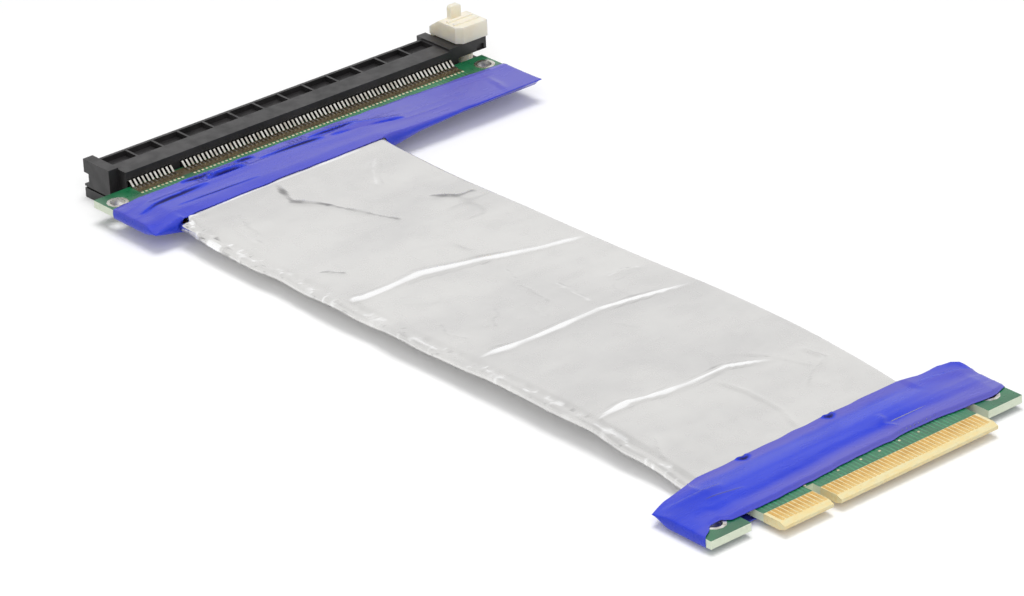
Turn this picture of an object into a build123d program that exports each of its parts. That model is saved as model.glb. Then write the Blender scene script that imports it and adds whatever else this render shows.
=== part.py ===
from build123d import *
import os
from math import radians, tan

# Flat shielded extension cable between an x16 card slot and an x8 edge connector.
# +X runs from the slot to the edge connector, Y runs along both connectors, +Z is up.
# All lengths are in millimetres.

# Overall size: slot mouth to tongue tip
OVERALL_LENGTH = 200.0

# Contact pattern shared by the slot and the edge connector
PITCH = 1.0
CONTACTS_BEFORE_KEY = 11
KEY_EXTRA = 2.0
SLOT_CONTACTS = 82
EDGE_CONTACTS = 49

# Slot housing
HOUSING_DEPTH = 11.0
HOUSING_THICKNESS = 7.5
PIN_1_INSET = 3.0
LAST_PIN_INSET = 3.0
HEAD_WIDTH = 2.4
HEAD_THICKNESS = 8.3
HEAD_LIP = 1.4
HEAD_SETBACK = 2.4
HEAD_NOTCH_HEIGHT = 2.5
HEAD_NOTCH_DEPTH = 1.5
HEAD_GROOVE_WIDTH = 0.4
HEAD_GROOVE_DEPTH = 0.4
HEAD_GROOVE_DROP = 1.7
POCKET_COUNT = 13
POCKET_RIB = 0.5
POCKET_LIP = 0.7
POCKET_DEPTH = 1.1
POCKET_LENGTH = 3.9
CARD_GAP = 1.8
CARD_DEPTH = 8.2
CARD_END_ROOM = 1.3
KEY_RIB_WIDTH = 1.7
LEAD_IN = 0.5

# Slot contacts
CONTACT_WIDTH = 0.45
CONTACT_THICKNESS = 0.2
CONTACT_CLEARANCE = 0.06
CONTACT_RISE = 1.9
CONTACT_REACH = 7.2
SPRING_ROOM = 0.5
TAIL_BEND_OUT = 0.45
TAIL_LEAN = 1.1
TAIL_FOOT = 1.2

# Retention latch and the housing bracket that carries it
PIVOT_INSET = 3.0
PIVOT_BEYOND_END = 4.0
PIVOT_RADIUS = 1.1
PIVOT_CLEARANCE = 0.06
BRACKET_RADIUS = 6.5
BRACKET_WIDTH = 7.6
BRACKET_SETBACK = 0.3
BRACKET_POCKET = 3.0
BRACKET_DIMPLE = 1.3
BRACKET_DIMPLE_DEPTH = 0.6
LATCH_CLEARANCE = 0.2
LATCH_ARM_WIDTH = 3.2
LATCH_HOOK_REACH = 2.6
LATCH_HOOK_OVER = 1.5
LATCH_HOOK_THICKNESS = 2.1
LATCH_WEB = 1.2
LATCH_WEB_WIDTH = 6.4
PADDLE_WIDTH = 7.8
PADDLE_THICKNESS = 3.6
PADDLE_SLOPE_LENGTH = 3.0
PADDLE_SLOPE_DROP = 2.0
PADDLE_FRONT_CHAMFER = 1.2
RIDGE_COUNT = 2
RIDGE_WIDTH = 0.7
RIDGE_HEIGHT = 0.35
RIDGE_INSET = 0.6
THUMB_WIDTH = 2.8
THUMB_THICKNESS = 1.3
THUMB_HEIGHT = 2.8

# Circuit boards
BOARD_THICKNESS = 1.6
SLOT_BOARD_DEPTH = 16.4
SLOT_BOARD_GAP = 0.6
SLOT_BOARD_LEFT = 9.1
SLOT_BOARD_RIGHT = 8.5
EDGE_BOARD_DEPTH = 15.0
EDGE_BOARD_LEFT = 14.1
EDGE_BOARD_RIGHT = 11.9
COPPER = 0.05

# Mounting holes
HOLE_RADIUS = 1.5
RING_RADIUS = 2.2
RING_SIDE_COUNT = 12
SLOT_HOLE_X = 4.8
SLOT_HOLE_INSET = 2.8
EDGE_HOLE_SETBACK = 8.8

# Edge connector tongue
TONGUE_SIDE = 1.1
KEY_NOTCH_WIDTH = 1.9
KEY_NOTCH_DEPTH = 7.2
EAR_SETBACK = 4.5
EAR_SLOT_LEFT = 3.6
EAR_SLOT_RIGHT = 2.2
EAR_SLOT_DEPTH = 10.5
BEVEL_LENGTH = 1.3
BEVEL_DROP = 0.47
FINGER_WIDTH = 0.7
FINGER_LENGTH = 3.9

# Pads under the slot tails
SLOT_PAD_START = 0.3
SLOT_PAD_LENGTH = 3.1
SLOT_PAD_WIDTH = 0.6

# Ribbon cables
RIBBON_WIRES = 50
RIBBON_LEFT = 1.0
RIBBON_THICKNESS = 0.9
RIBBON_GAP = 0.1
RIBBON_SEAT = 0.05
STRIP_LENGTH = 3.4
WIRE_WIDTH = 0.5
SOLDER_WIDTH = 0.8
SLOT_WIRE_START = 8.4
EDGE_WIRE_SETBACK = 9.2

# Foil shield
FOIL_THICKNESS = 0.15
FOIL_CLEARANCE = 0.06
FOIL_HEM = 3.2
FOIL_HEM_STEP = 0.12
FOIL_SIDE = 0.4
CONVERGE = 3.8

# Insulating tape
TAPE_THICKNESS = 0.15
TAPE_CLEARANCE = 0.05
TAPE_RAMP = 2.0
SLOT_TAPE_START = 7.1
SLOT_TAPE_SIDE_END = 21.4
EDGE_TAPE_FRONT_SETBACK = 8.1
EDGE_TAPE_SIDE_SETBACK = 19.4
TAPE_OVER_FOIL = 0.8

# Rise of the cable above a straight line between the boards, at chosen shares of its length
ARC_SHARE = 0.45
CABLE_WAVE = (
    (0.13, -0.5),
    (0.26, 0.35),
    (0.40, 0.75),
    (0.53, 1.4),
    (0.68, 2.3),
    (0.82, 2.35),
    (0.93, 1.2),
)

# Places worked out from the sizes above
SLOT_ROW = (SLOT_CONTACTS - 1) * PITCH + KEY_EXTRA
EDGE_ROW = (EDGE_CONTACTS - 1) * PITCH + KEY_EXTRA
HOUSING_LENGTH = PIN_1_INSET + SLOT_ROW + LAST_PIN_INSET
LATCH_SIDE_REACH = PIVOT_BEYOND_END + PADDLE_WIDTH / 2
EDGE_SIDE_REACH = EDGE_BOARD_LEFT + TAPE_CLEARANCE + TAPE_THICKNESS
REACH_RIGHT = HOUSING_LENGTH - PIN_1_INSET + LATCH_SIDE_REACH
MOUTH_X = (LATCH_HOOK_REACH - OVERALL_LENGTH) / 2
TIP_X = MOUTH_X + OVERALL_LENGTH
REAR_X = MOUTH_X + HOUSING_DEPTH
PIN_1_Y = (EDGE_SIDE_REACH - REACH_RIGHT) / 2
HOUSING_LOW_Y = PIN_1_Y - PIN_1_INSET
HOUSING_HIGH_Y = HOUSING_LOW_Y + HOUSING_LENGTH
CORE_LOW_Y = HOUSING_LOW_Y + HEAD_WIDTH
CORE_HIGH_Y = HOUSING_HIGH_Y - HEAD_WIDTH
SLOT_Z = HEAD_THICKNESS / 2
RIBBON_CENTRE = BOARD_THICKNESS / 2 + RIBBON_SEAT + RIBBON_THICKNESS / 2
WRAP_INNER = RIBBON_CENTRE + RIBBON_THICKNESS / 2 + TAPE_CLEARANCE
WRAP_OUTER = WRAP_INNER + TAPE_THICKNESS
EDGE_Z = WRAP_OUTER
SLOT_BOARD_X = (REAR_X + SLOT_BOARD_GAP, REAR_X + SLOT_BOARD_GAP + SLOT_BOARD_DEPTH)
SLOT_BOARD_Y = (PIN_1_Y - SLOT_BOARD_LEFT, PIN_1_Y + SLOT_ROW + SLOT_BOARD_RIGHT)
EDGE_BOARD_X = (TIP_X - EDGE_BOARD_DEPTH, TIP_X)
EDGE_BOARD_Y = (PIN_1_Y - EDGE_BOARD_LEFT, PIN_1_Y + EDGE_ROW + EDGE_BOARD_RIGHT)
RIBBON_Y = (PIN_1_Y - RIBBON_LEFT, PIN_1_Y - RIBBON_LEFT + RIBBON_WIRES * PITCH)
FOIL_Y = (RIBBON_Y[0] - FOIL_HEM, RIBBON_Y[1] + FOIL_SIDE)
BEND_ROOM = ARC_SHARE * CONVERGE + RIBBON_SEAT
FOIL_X = (
    SLOT_BOARD_X[1] + BEND_ROOM + CONVERGE + BEND_ROOM,
    EDGE_BOARD_X[0] - BEND_ROOM - CONVERGE - BEND_ROOM,
)
PIVOT_X = REAR_X - PIVOT_INSET
PIVOT_Y = HOUSING_HIGH_Y + PIVOT_BEYOND_END


def block(x, y, z):
    """A box between the low and high values given for each axis."""
    spans = (x, y, z)
    centre = [(low + high) / 2 for low, high in spans]
    return Pos(*centre) * Box(*[high - low for low, high in spans])


def prism_along_y(points, y):
    """A prism whose X, Z outline is swept from the low to the high Y."""
    face = make_face(Polyline(*[(px, y[0], pz) for px, pz in points], close=True))
    return extrude(face, amount=y[1] - y[0], dir=(0, 1, 0))


def prism_along_x(points, x):
    """A prism whose Y, Z outline is swept from the low to the high X."""
    face = make_face(Polyline(*[(x[0], py, pz) for py, pz in points], close=True))
    return extrude(face, amount=x[1] - x[0], dir=(1, 0, 0))


def contact_places(count):
    """Y of each contact of a row, with the wider step over the key."""
    return [
        PIN_1_Y + i * PITCH + (KEY_EXTRA if i >= CONTACTS_BEFORE_KEY else 0)
        for i in range(count)
    ]


def wire_places():
    """Y of each wire of a ribbon."""
    return [RIBBON_Y[0] + (i + 0.5) * PITCH for i in range(RIBBON_WIRES)]


def key_centre():
    """Y of the middle of the key, between the two groups of contacts."""
    before = PIN_1_Y + (CONTACTS_BEFORE_KEY - 1) * PITCH
    return before + (PITCH + KEY_EXTRA) / 2


def both_sides(solid, plane_z):
    """The solid and its mirror image about a level plane."""
    return [solid, mirror(solid, about=Plane.XY.offset(plane_z))]


def slot_head(low_y):
    """One thickened end block of the housing, notched where the card's edge passes."""
    x = (MOUTH_X, REAR_X - HEAD_SETBACK)
    y = (low_y, low_y + HEAD_WIDTH)
    return block(x, y, (0, HEAD_THICKNESS))


def head_notch(low_y):
    """Gap in the mouth side of an end block."""
    half = HEAD_NOTCH_HEIGHT / 2
    y = (low_y, low_y + HEAD_WIDTH)
    return block((MOUTH_X, MOUTH_X + HEAD_NOTCH_DEPTH), y, (SLOT_Z - half, SLOT_Z + half))


def latch_bracket():
    """Two cheeks rounded about the latch's pivot, with a gap between them for its arm."""
    x = (PIVOT_X - BRACKET_RADIUS, REAR_X - BRACKET_SETBACK)
    y = (CORE_HIGH_Y, HOUSING_HIGH_Y + BRACKET_WIDTH)
    outer = block(x, y, (0, HEAD_THICKNESS))
    rounding = Pos(PIVOT_X, PIVOT_Y, SLOT_Z) * Cylinder(BRACKET_RADIUS, HEAD_THICKNESS)
    root = block((PIVOT_X, x[1]), (CORE_HIGH_Y, HOUSING_HIGH_Y), (0, HEAD_THICKNESS))
    half = BRACKET_POCKET / 2
    gap = block(x, (HOUSING_HIGH_Y, y[1]), (SLOT_Z - half, SLOT_Z + half))
    bore = Pos(PIVOT_X, PIVOT_Y, SLOT_Z) * Cylinder(PIVOT_RADIUS + PIVOT_CLEARANCE, HEAD_THICKNESS)
    dimple = block(
        (x[1] - BRACKET_DIMPLE_DEPTH, x[1]),
        (y[1] - 2 * BRACKET_DIMPLE, y[1] - BRACKET_DIMPLE / 2),
        (HEAD_THICKNESS - 2 * BRACKET_DIMPLE, HEAD_THICKNESS - BRACKET_DIMPLE),
    )
    return (outer & rounding) + root - gap - bore - dimple


def side_pockets():
    """Pockets between thin ribs, behind the mouth's lip, on both long walls."""
    pitch = (CORE_HIGH_Y - CORE_LOW_Y - POCKET_RIB) / POCKET_COUNT
    front = MOUTH_X + HEAD_LIP + POCKET_LIP
    x = (front, front + POCKET_LENGTH)
    top = SLOT_Z + HOUSING_THICKNESS / 2
    cuts = []
    for i in range(POCKET_COUNT):
        start = CORE_LOW_Y + POCKET_RIB + i * pitch
        pocket = block(x, (start, start + pitch - POCKET_RIB), (top - POCKET_DEPTH, top))
        cuts += both_sides(pocket, SLOT_Z)
    return cuts


def cavity_lengths():
    """Low and high Y of the card gap's two lengths, either side of the key rib."""
    places = contact_places(SLOT_CONTACTS)
    half_key = KEY_RIB_WIDTH / 2
    return [
        (places[0] - CARD_END_ROOM, key_centre() - half_key),
        (key_centre() + half_key, places[-1] + CARD_END_ROOM),
    ]


def card_cavity():
    """The gap that takes a card's edge, with a flared mouth."""
    x = (MOUTH_X, MOUTH_X + CARD_DEPTH)
    z = (SLOT_Z - CARD_GAP / 2, SLOT_Z + CARD_GAP / 2)
    lengths = cavity_lengths()
    mouth_x = MOUTH_X + HEAD_LIP
    flare = [
        (mouth_x, SLOT_Z + CARD_GAP / 2 + LEAD_IN),
        (mouth_x + LEAD_IN, SLOT_Z + CARD_GAP / 2),
        (mouth_x + LEAD_IN, SLOT_Z - CARD_GAP / 2),
        (mouth_x, SLOT_Z - CARD_GAP / 2 - LEAD_IN),
    ]
    ends = (lengths[0][0], lengths[-1][1])
    return [block(x, y, z) for y in lengths] + [prism_along_y(flare, ends)]


def contact_room():
    """Room for the springs beside the card, and an upright slot through the rear wall for each pair."""
    top = SLOT_Z + CONTACT_RISE + CONTACT_THICKNESS + CONTACT_CLEARANCE
    z = (2 * SLOT_Z - top, top)
    front = REAR_X - CONTACT_REACH - SPRING_ROOM
    half = CONTACT_WIDTH / 2 + CONTACT_CLEARANCE
    rooms = [block((front, MOUTH_X + CARD_DEPTH), y, z) for y in cavity_lengths()]
    places = contact_places(SLOT_CONTACTS)
    return rooms + [block((REAR_X - CONTACT_REACH, REAR_X), (y - half, y + half), z) for y in places]


def slot_housing():
    """Moulded slot body with its card gap, contact slots, end blocks and latch bracket."""
    half = HOUSING_THICKNESS / 2
    body = block((MOUTH_X + HEAD_LIP, REAR_X), (CORE_LOW_Y, CORE_HIGH_Y), (SLOT_Z - half, SLOT_Z + half))
    body += [slot_head(HOUSING_LOW_Y), slot_head(CORE_HIGH_Y), latch_bracket()]
    body -= contact_room() + side_pockets() + card_cavity()
    body -= [head_notch(HOUSING_LOW_Y), head_notch(CORE_HIGH_Y)]
    groove_top = SLOT_Z - HEAD_GROOVE_DROP
    body -= block(
        (MOUTH_X, REAR_X - HEAD_SETBACK),
        (HOUSING_LOW_Y, HOUSING_LOW_Y + HEAD_GROOVE_DEPTH),
        (groove_top - HEAD_GROOVE_WIDTH, groove_top),
    )
    return body


def contact_outline():
    """X, Z outline of one upper contact: tapering spring, leaning tail and flat foot."""
    tip = (REAR_X - CONTACT_REACH, SLOT_Z + CARD_GAP / 2 - CONTACT_THICKNESS / 2)
    bend = (REAR_X + TAIL_BEND_OUT, SLOT_Z + CONTACT_RISE)
    heel = (bend[0] + TAIL_LEAN, SLOT_Z + BOARD_THICKNESS / 2 + COPPER)
    toe = (heel[0] + TAIL_FOOT, heel[1])
    under = [bend, heel, toe]
    return [tip, *under] + [(x, z + CONTACT_THICKNESS) for x, z in reversed(under)]


def slot_contacts():
    """Upper and lower rows of contacts."""
    outline = contact_outline()
    upper = []
    for y in contact_places(SLOT_CONTACTS):
        upper.append(prism_along_y(outline, (y - CONTACT_WIDTH / 2, y + CONTACT_WIDTH / 2)))
    lower = [mirror(contact, about=Plane.XY.offset(SLOT_Z)) for contact in upper]
    return upper, lower


def latch_arm():
    """Arm inside the bracket, ending in a hook over the slot's mouth."""
    half = BRACKET_POCKET / 2 - LATCH_CLEARANCE
    z = (SLOT_Z - half, SLOT_Z + half)
    tip_x = MOUTH_X - LATCH_HOOK_REACH
    y = (PIVOT_Y - LATCH_ARM_WIDTH / 2, PIVOT_Y + LATCH_ARM_WIDTH / 2)
    arm = block((tip_x, PIVOT_X), y, z)
    boss = Pos(PIVOT_X, PIVOT_Y, SLOT_Z) * Cylinder(LATCH_ARM_WIDTH / 2, 2 * half)
    hook = Polyline(
        (tip_x, y[0] - LATCH_CLEARANCE),
        (tip_x + LATCH_HOOK_THICKNESS / 2, HOUSING_HIGH_Y - LATCH_HOOK_OVER),
        (tip_x + LATCH_HOOK_THICKNESS, HOUSING_HIGH_Y - LATCH_HOOK_OVER),
        (tip_x + LATCH_HOOK_THICKNESS, y[0]),
        (tip_x + LATCH_HOOK_THICKNESS, y[1]),
        (tip_x, y[1]),
        close=True,
    )
    nose = Pos(0, 0, z[0]) * extrude(make_face(hook), amount=2 * half, dir=(0, 0, 1))
    return arm + boss + nose


def latch_paddle(bottom_z):
    """Thick finger paddle above the bracket, with ridges and an upright thumb tab."""
    x = (PIVOT_X - BRACKET_RADIUS - LATCH_CLEARANCE, REAR_X)
    y = (PIVOT_Y - PADDLE_WIDTH / 2, PIVOT_Y + PADDLE_WIDTH / 2)
    top_z = bottom_z + PADDLE_THICKNESS
    outline = [
        (x[0], bottom_z),
        (x[1], bottom_z),
        (x[1], top_z),
        (x[0] + PADDLE_SLOPE_LENGTH, top_z),
        (x[0], top_z - PADDLE_SLOPE_DROP),
    ]
    paddle = prism_along_y(outline, y)
    front = paddle.edges().filter_by(Axis.Z).sort_by(Axis.X)[-2:]
    paddle = chamfer(front.sort_by(Axis.Y)[0], PADDLE_FRONT_CHAMFER)
    thumb_x = (x[0] + PADDLE_SLOPE_LENGTH, x[0] + PADDLE_SLOPE_LENGTH + THUMB_THICKNESS)
    ridge_y = (y[0] + RIDGE_INSET, y[1] - RIDGE_INSET)
    step = (x[1] - PADDLE_FRONT_CHAMFER - thumb_x[1]) / RIDGE_COUNT
    for i in range(RIDGE_COUNT):
        middle = thumb_x[1] + (i + 0.5) * step
        ridge_x = (middle - RIDGE_WIDTH / 2, middle + RIDGE_WIDTH / 2)
        paddle += block(ridge_x, ridge_y, (top_z, top_z + RIDGE_HEIGHT))
    thumb_y = (PIVOT_Y - THUMB_WIDTH / 2, PIVOT_Y + THUMB_WIDTH / 2)
    thumb = block(thumb_x, thumb_y, (bottom_z, top_z + THUMB_HEIGHT))
    crown = thumb.edges().filter_by(Axis.X).sort_by(Axis.Z)[-2:]
    return paddle + fillet(crown, THUMB_WIDTH / 4)


def retention_latch():
    """Card latch: paddle, web round the bracket, hooked arm and pivot post in one moulding."""
    bottom_z = HEAD_THICKNESS + LATCH_CLEARANCE
    arm_low = SLOT_Z - BRACKET_POCKET / 2 + LATCH_CLEARANCE
    post = Pos(PIVOT_X, PIVOT_Y, bottom_z / 2) * Cylinder(PIVOT_RADIUS, bottom_z)
    inner = BRACKET_RADIUS + LATCH_CLEARANCE
    ring = Cylinder(inner + LATCH_WEB, bottom_z - arm_low + PADDLE_SLOPE_DROP / 2)
    ring -= Cylinder(inner, bottom_z - arm_low + PADDLE_SLOPE_DROP / 2)
    ring = Pos(PIVOT_X, PIVOT_Y, (bottom_z + arm_low + PADDLE_SLOPE_DROP / 2) / 2) * ring
    half = LATCH_WEB_WIDTH / 2
    window = block(
        (PIVOT_X - inner - LATCH_WEB, PIVOT_X - LATCH_ARM_WIDTH),
        (PIVOT_Y - half, PIVOT_Y + half),
        (arm_low, bottom_z + PADDLE_SLOPE_DROP / 2),
    )
    return latch_arm() + post + (ring & window) + latch_paddle(bottom_z)


def slot_board():
    """Board clamped between the two rows of slot tails."""
    half = BOARD_THICKNESS / 2
    board = block(SLOT_BOARD_X, SLOT_BOARD_Y, (SLOT_Z - half, SLOT_Z + half))
    for place in slot_hole_places():
        board -= place * Cylinder(HOLE_RADIUS, BOARD_THICKNESS)
    return board


def slot_hole_places():
    """Centres of the two mounting holes of the slot board."""
    x = REAR_X + SLOT_HOLE_X
    ends = (SLOT_BOARD_Y[0] + SLOT_HOLE_INSET, SLOT_BOARD_Y[1] - SLOT_HOLE_INSET)
    return [Pos(x, y, SLOT_Z) for y in ends]


def tongue_edges():
    """Low and high Y of the tongue."""
    places = contact_places(EDGE_CONTACTS)
    return places[0] - TONGUE_SIDE, places[-1] + TONGUE_SIDE


def ear_edges():
    """Y where the left ear ends and where the right ear begins."""
    left, right = tongue_edges()
    return left - EAR_SLOT_LEFT, right + EAR_SLOT_RIGHT


def edge_board():
    """Board with a keyed and bevelled tongue between two set-back ears."""
    half = BOARD_THICKNESS / 2
    z = (EDGE_Z - half, EDGE_Z + half)
    left, right = tongue_edges()
    left_ear, right_ear = ear_edges()
    board = block(EDGE_BOARD_X, EDGE_BOARD_Y, z)
    slot_x = (TIP_X - EAR_SLOT_DEPTH, TIP_X)
    board -= [block(slot_x, (left_ear, left), z), block(slot_x, (right, right_ear), z)]
    ear_x = (TIP_X - EAR_SETBACK, TIP_X)
    board -= [block(ear_x, (EDGE_BOARD_Y[0], left_ear), z), block(ear_x, (right_ear, EDGE_BOARD_Y[1]), z)]
    key = (key_centre() - KEY_NOTCH_WIDTH / 2, key_centre() + KEY_NOTCH_WIDTH / 2)
    board -= block((TIP_X - KEY_NOTCH_DEPTH, TIP_X), key, z)
    bevel = [(TIP_X - BEVEL_LENGTH, z[1]), (TIP_X, z[1]), (TIP_X, z[1] - BEVEL_DROP)]
    board -= both_sides(prism_along_y(bevel, (left, right)), EDGE_Z)
    for place in edge_hole_places():
        board -= place * Cylinder(HOLE_RADIUS, BOARD_THICKNESS)
    return board


def edge_hole_places():
    """Centres of the holes in the two ears."""
    left_ear, right_ear = ear_edges()
    x = TIP_X - EDGE_HOLE_SETBACK
    return [
        Pos(x, (EDGE_BOARD_Y[0] + left_ear) / 2, EDGE_Z),
        Pos(x, (right_ear + EDGE_BOARD_Y[1]) / 2, EDGE_Z),
    ]


def hole_rings(places):
    """Tinned ring round each hole, on both faces of its board, with flat sides to stay light."""
    outer = RegularPolygon(RING_RADIUS, RING_SIDE_COUNT, major_radius=False)
    inner = RegularPolygon(HOLE_RADIUS, RING_SIDE_COUNT, major_radius=False)
    ring = extrude(outer - inner, amount=COPPER)
    lifts = (BOARD_THICKNESS / 2, -BOARD_THICKNESS / 2 - COPPER)
    return [place * Pos(0, 0, lift) * ring for place in places for lift in lifts]


def rows_of_plates(places, width, x, board_z):
    """Upper and lower rows of thin copper plates on a board."""
    low = board_z + BOARD_THICKNESS / 2
    upper = [block(x, (y - width / 2, y + width / 2), (low, low + COPPER)) for y in places]
    lower = [mirror(plate, about=Plane.XY.offset(board_z)) for plate in upper]
    return upper, lower


def slot_pads():
    """Pads under the feet of the slot contacts."""
    start = SLOT_BOARD_X[0] + SLOT_PAD_START
    return rows_of_plates(
        contact_places(SLOT_CONTACTS), SLOT_PAD_WIDTH, (start, start + SLOT_PAD_LENGTH), SLOT_Z
    )


def edge_fingers():
    """Contact fingers on both faces of the tongue."""
    end = TIP_X - BEVEL_LENGTH
    return rows_of_plates(
        contact_places(EDGE_CONTACTS), FINGER_WIDTH, (end - FINGER_LENGTH, end), EDGE_Z
    )


def wire_ends(x, board_z):
    """Stripped wire ends, each under a ridge of solder, on both faces of a board."""
    low = board_z + BOARD_THICKNESS / 2
    top = low + RIBBON_SEAT + (RIBBON_THICKNESS + WIRE_WIDTH) / 2
    half = SOLDER_WIDTH / 2
    upper = [prism_along_x([(y - half, low), (y + half, low), (y, top)], x) for y in wire_places()]
    lower = [mirror(end, about=Plane.XY.offset(board_z)) for end in upper]
    return upper, lower


def cable_line(side):
    """Corner points of a ribbon's middle line: side 1 above, -1 below, 0 for the shield."""
    stack = side * (RIBBON_THICKNESS + RIBBON_GAP) / 2
    seat = side * RIBBON_CENTRE
    start = (REAR_X + SLOT_WIRE_START + STRIP_LENGTH, SLOT_Z + seat)
    leave = (SLOT_BOARD_X[1] + BEND_ROOM, SLOT_Z + seat)
    meet = (leave[0] + CONVERGE, SLOT_Z + stack)
    arrive = (EDGE_BOARD_X[0] - BEND_ROOM, EDGE_Z + seat)
    part = (arrive[0] - CONVERGE, EDGE_Z + stack)
    end = (TIP_X - EDGE_WIRE_SETBACK - STRIP_LENGTH, EDGE_Z + seat)
    run = part[0] - meet[0]
    fall = part[1] - meet[1]
    wave = [(meet[0] + share * run, meet[1] + share * fall + rise) for share, rise in CABLE_WAVE]
    if side == 0:
        return [meet, *wave, part]
    return [start, leave, meet, *wave, part, arrive, end]


def rounded(points, lift):
    """Edges through the points, moved up by lift: straight runs joined by tangent arcs."""
    places = [Vector(x, 0, z + lift) for x, z in points]
    edges = []
    last = places[0]
    for before, corner, after in zip(places, places[1:], places[2:]):
        back, ahead = (before - corner), (after - corner)
        reach = ARC_SHARE * min(back.length, ahead.length)
        start = corner + back.normalized() * reach
        end = corner + ahead.normalized() * reach
        chord_middle = (start + end) / 2
        half_turn = radians(180 - back.get_angle(ahead)) / 2
        inward = (chord_middle - corner).normalized()
        sag = reach * tan(half_turn / 2)
        arc = ThreePointArc(start, chord_middle - inward * sag, end)
        edges += [Line(last, start).edge(), arc.edge()]
        last = end
    return edges + [Line(last, places[-1]).edge()]


def band(points, lift, thickness, y):
    """A flat strip that follows the points, spread over the given width."""
    low = rounded(points, lift - thickness / 2)
    high = rounded(points, lift + thickness / 2)
    ends = [Line(low[0] @ 0, high[0] @ 0).edge(), Line(low[-1] @ 1, high[-1] @ 1).edge()]
    face = make_face([*low, *high, *ends])
    return Pos(0, y[0], 0) * extrude(face, amount=y[1] - y[0], dir=(0, 1, 0))


def ribbon(side):
    """One flat ribbon cable, from its stripped end on one board to the other."""
    return band(cable_line(side), 0, RIBBON_THICKNESS, RIBBON_Y)


def foil_shield():
    """Flat foil sleeve round both ribbons, with a thicker folded hem along one edge."""
    inner = 2 * RIBBON_THICKNESS + RIBBON_GAP + 2 * FOIL_CLEARANCE
    outer = inner + 2 * FOIL_THICKNESS
    line = cable_line(0)
    hem_y = (FOIL_Y[0], RIBBON_Y[0] - FOIL_CLEARANCE - FOIL_THICKNESS)
    sleeve = band(line, 0, outer, FOIL_Y)
    sleeve += band(line, 0, outer + 2 * FOIL_HEM_STEP, hem_y)
    sleeve -= band(line, 0, inner, (RIBBON_Y[0] - FOIL_CLEARANCE, RIBBON_Y[1] + FOIL_CLEARANCE))
    tall = (0, SLOT_Z + HEAD_THICKNESS)
    return sleeve & block(FOIL_X, (FOIL_Y[0], FOIL_Y[1]), tall)


def drape(board_y, board_z, inset):
    """Y, Z outline of tape drawn over a board and the raised cable, shrunk by inset."""
    side = BOARD_THICKNESS / 2 + COPPER + TAPE_CLEARANCE + TAPE_THICKNESS - inset
    high = WRAP_OUTER - inset
    reach = TAPE_CLEARANCE + TAPE_THICKNESS - inset
    low_y, high_y = board_y[0] - reach, board_y[1] + reach
    cable = (FOIL_Y[0] - reach, FOIL_Y[1] + reach)
    top = [
        (low_y, side),
        (cable[0] - TAPE_RAMP, side),
        (cable[0], high),
        (cable[1], high),
        (cable[1] + TAPE_RAMP, side),
        (high_y, side),
    ]
    under = [(y, -z) for y, z in reversed(top)]
    return [(y, board_z + z) for y, z in top + under]


def tape_sleeve(board_y, board_z, x, side_x):
    """Tape sleeve open where the cable passes, and closed beside it."""
    outside = drape(board_y, board_z, 0)
    sleeve = prism_along_x(outside, x) - prism_along_x(drape(board_y, board_z, TAPE_THICKNESS), x)
    low_y, high_y = outside[0][0], outside[5][0]
    cable = (outside[1][0], outside[4][0])
    tall = (board_z - WRAP_OUTER, board_z + WRAP_OUTER)
    half = outside[0][1] - board_z
    wall_z = (board_z - half, board_z + half)
    forward = x[1] > side_x > x[0] and side_x - x[0] > x[1] - side_x
    cut_x = (side_x, x[1]) if forward else (x[0], side_x)
    wall_x = (side_x - TAPE_THICKNESS, side_x) if forward else (side_x, side_x + TAPE_THICKNESS)
    for y in ((low_y, cable[0]), (cable[1], high_y)):
        sleeve -= block(cut_x, y, tall)
        sleeve += block(wall_x, y, wall_z)
    return sleeve


def slot_tape():
    """Tape round the slot board's solder joints."""
    x = (REAR_X + SLOT_TAPE_START, FOIL_X[0] + TAPE_OVER_FOIL)
    return tape_sleeve(SLOT_BOARD_Y, SLOT_Z, x, REAR_X + SLOT_TAPE_SIDE_END)


def edge_tape():
    """Tape round the edge board's solder joints."""
    x = (FOIL_X[1] - TAPE_OVER_FOIL, TIP_X - EDGE_TAPE_FRONT_SETBACK)
    return tape_sleeve(EDGE_BOARD_Y, EDGE_Z, x, TIP_X - EDGE_TAPE_SIDE_SETBACK)


def model():
    """Every node's name and its solid or group of solids."""
    contacts = slot_contacts()
    pads = slot_pads()
    fingers = edge_fingers()
    slot_start = REAR_X + SLOT_WIRE_START
    edge_end = TIP_X - EDGE_WIRE_SETBACK
    slot_ends = wire_ends((slot_start, slot_start + STRIP_LENGTH), SLOT_Z)
    edge_ends = wire_ends((edge_end - STRIP_LENGTH, edge_end), EDGE_Z)
    return {
        "slot_housing": slot_housing(),
        "slot_contacts_upper": contacts[0],
        "slot_contacts_lower": contacts[1],
        "retention_latch": retention_latch(),
        "slot_board": slot_board(),
        "slot_pads_upper": pads[0],
        "slot_pads_lower": pads[1],
        "slot_hole_rings": hole_rings(slot_hole_places()),
        "slot_wire_ends_upper": slot_ends[0],
        "slot_wire_ends_lower": slot_ends[1],
        "ribbon_upper": ribbon(1),
        "ribbon_lower": ribbon(-1),
        "foil_shield": foil_shield(),
        "slot_tape": slot_tape(),
        "edge_board": edge_board(),
        "edge_fingers_upper": fingers[0],
        "edge_fingers_lower": fingers[1],
        "edge_hole_rings": hole_rings(edge_hole_places()),
        "edge_wire_ends_upper": edge_ends[0],
        "edge_wire_ends_lower": edge_ends[1],
        "edge_tape": edge_tape(),
    }


os.makedirs("parts", exist_ok=True)
for name, piece in model().items():
    shape = Compound(children=list(piece)) if isinstance(piece, list) else piece
    export_step(shape, f"parts/{name}.step")
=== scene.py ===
from dataclasses import dataclass
from math import cos, pi, radians, sin

import bmesh
import bpy
import numpy as np
from mathutils import Matrix, Vector


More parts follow.
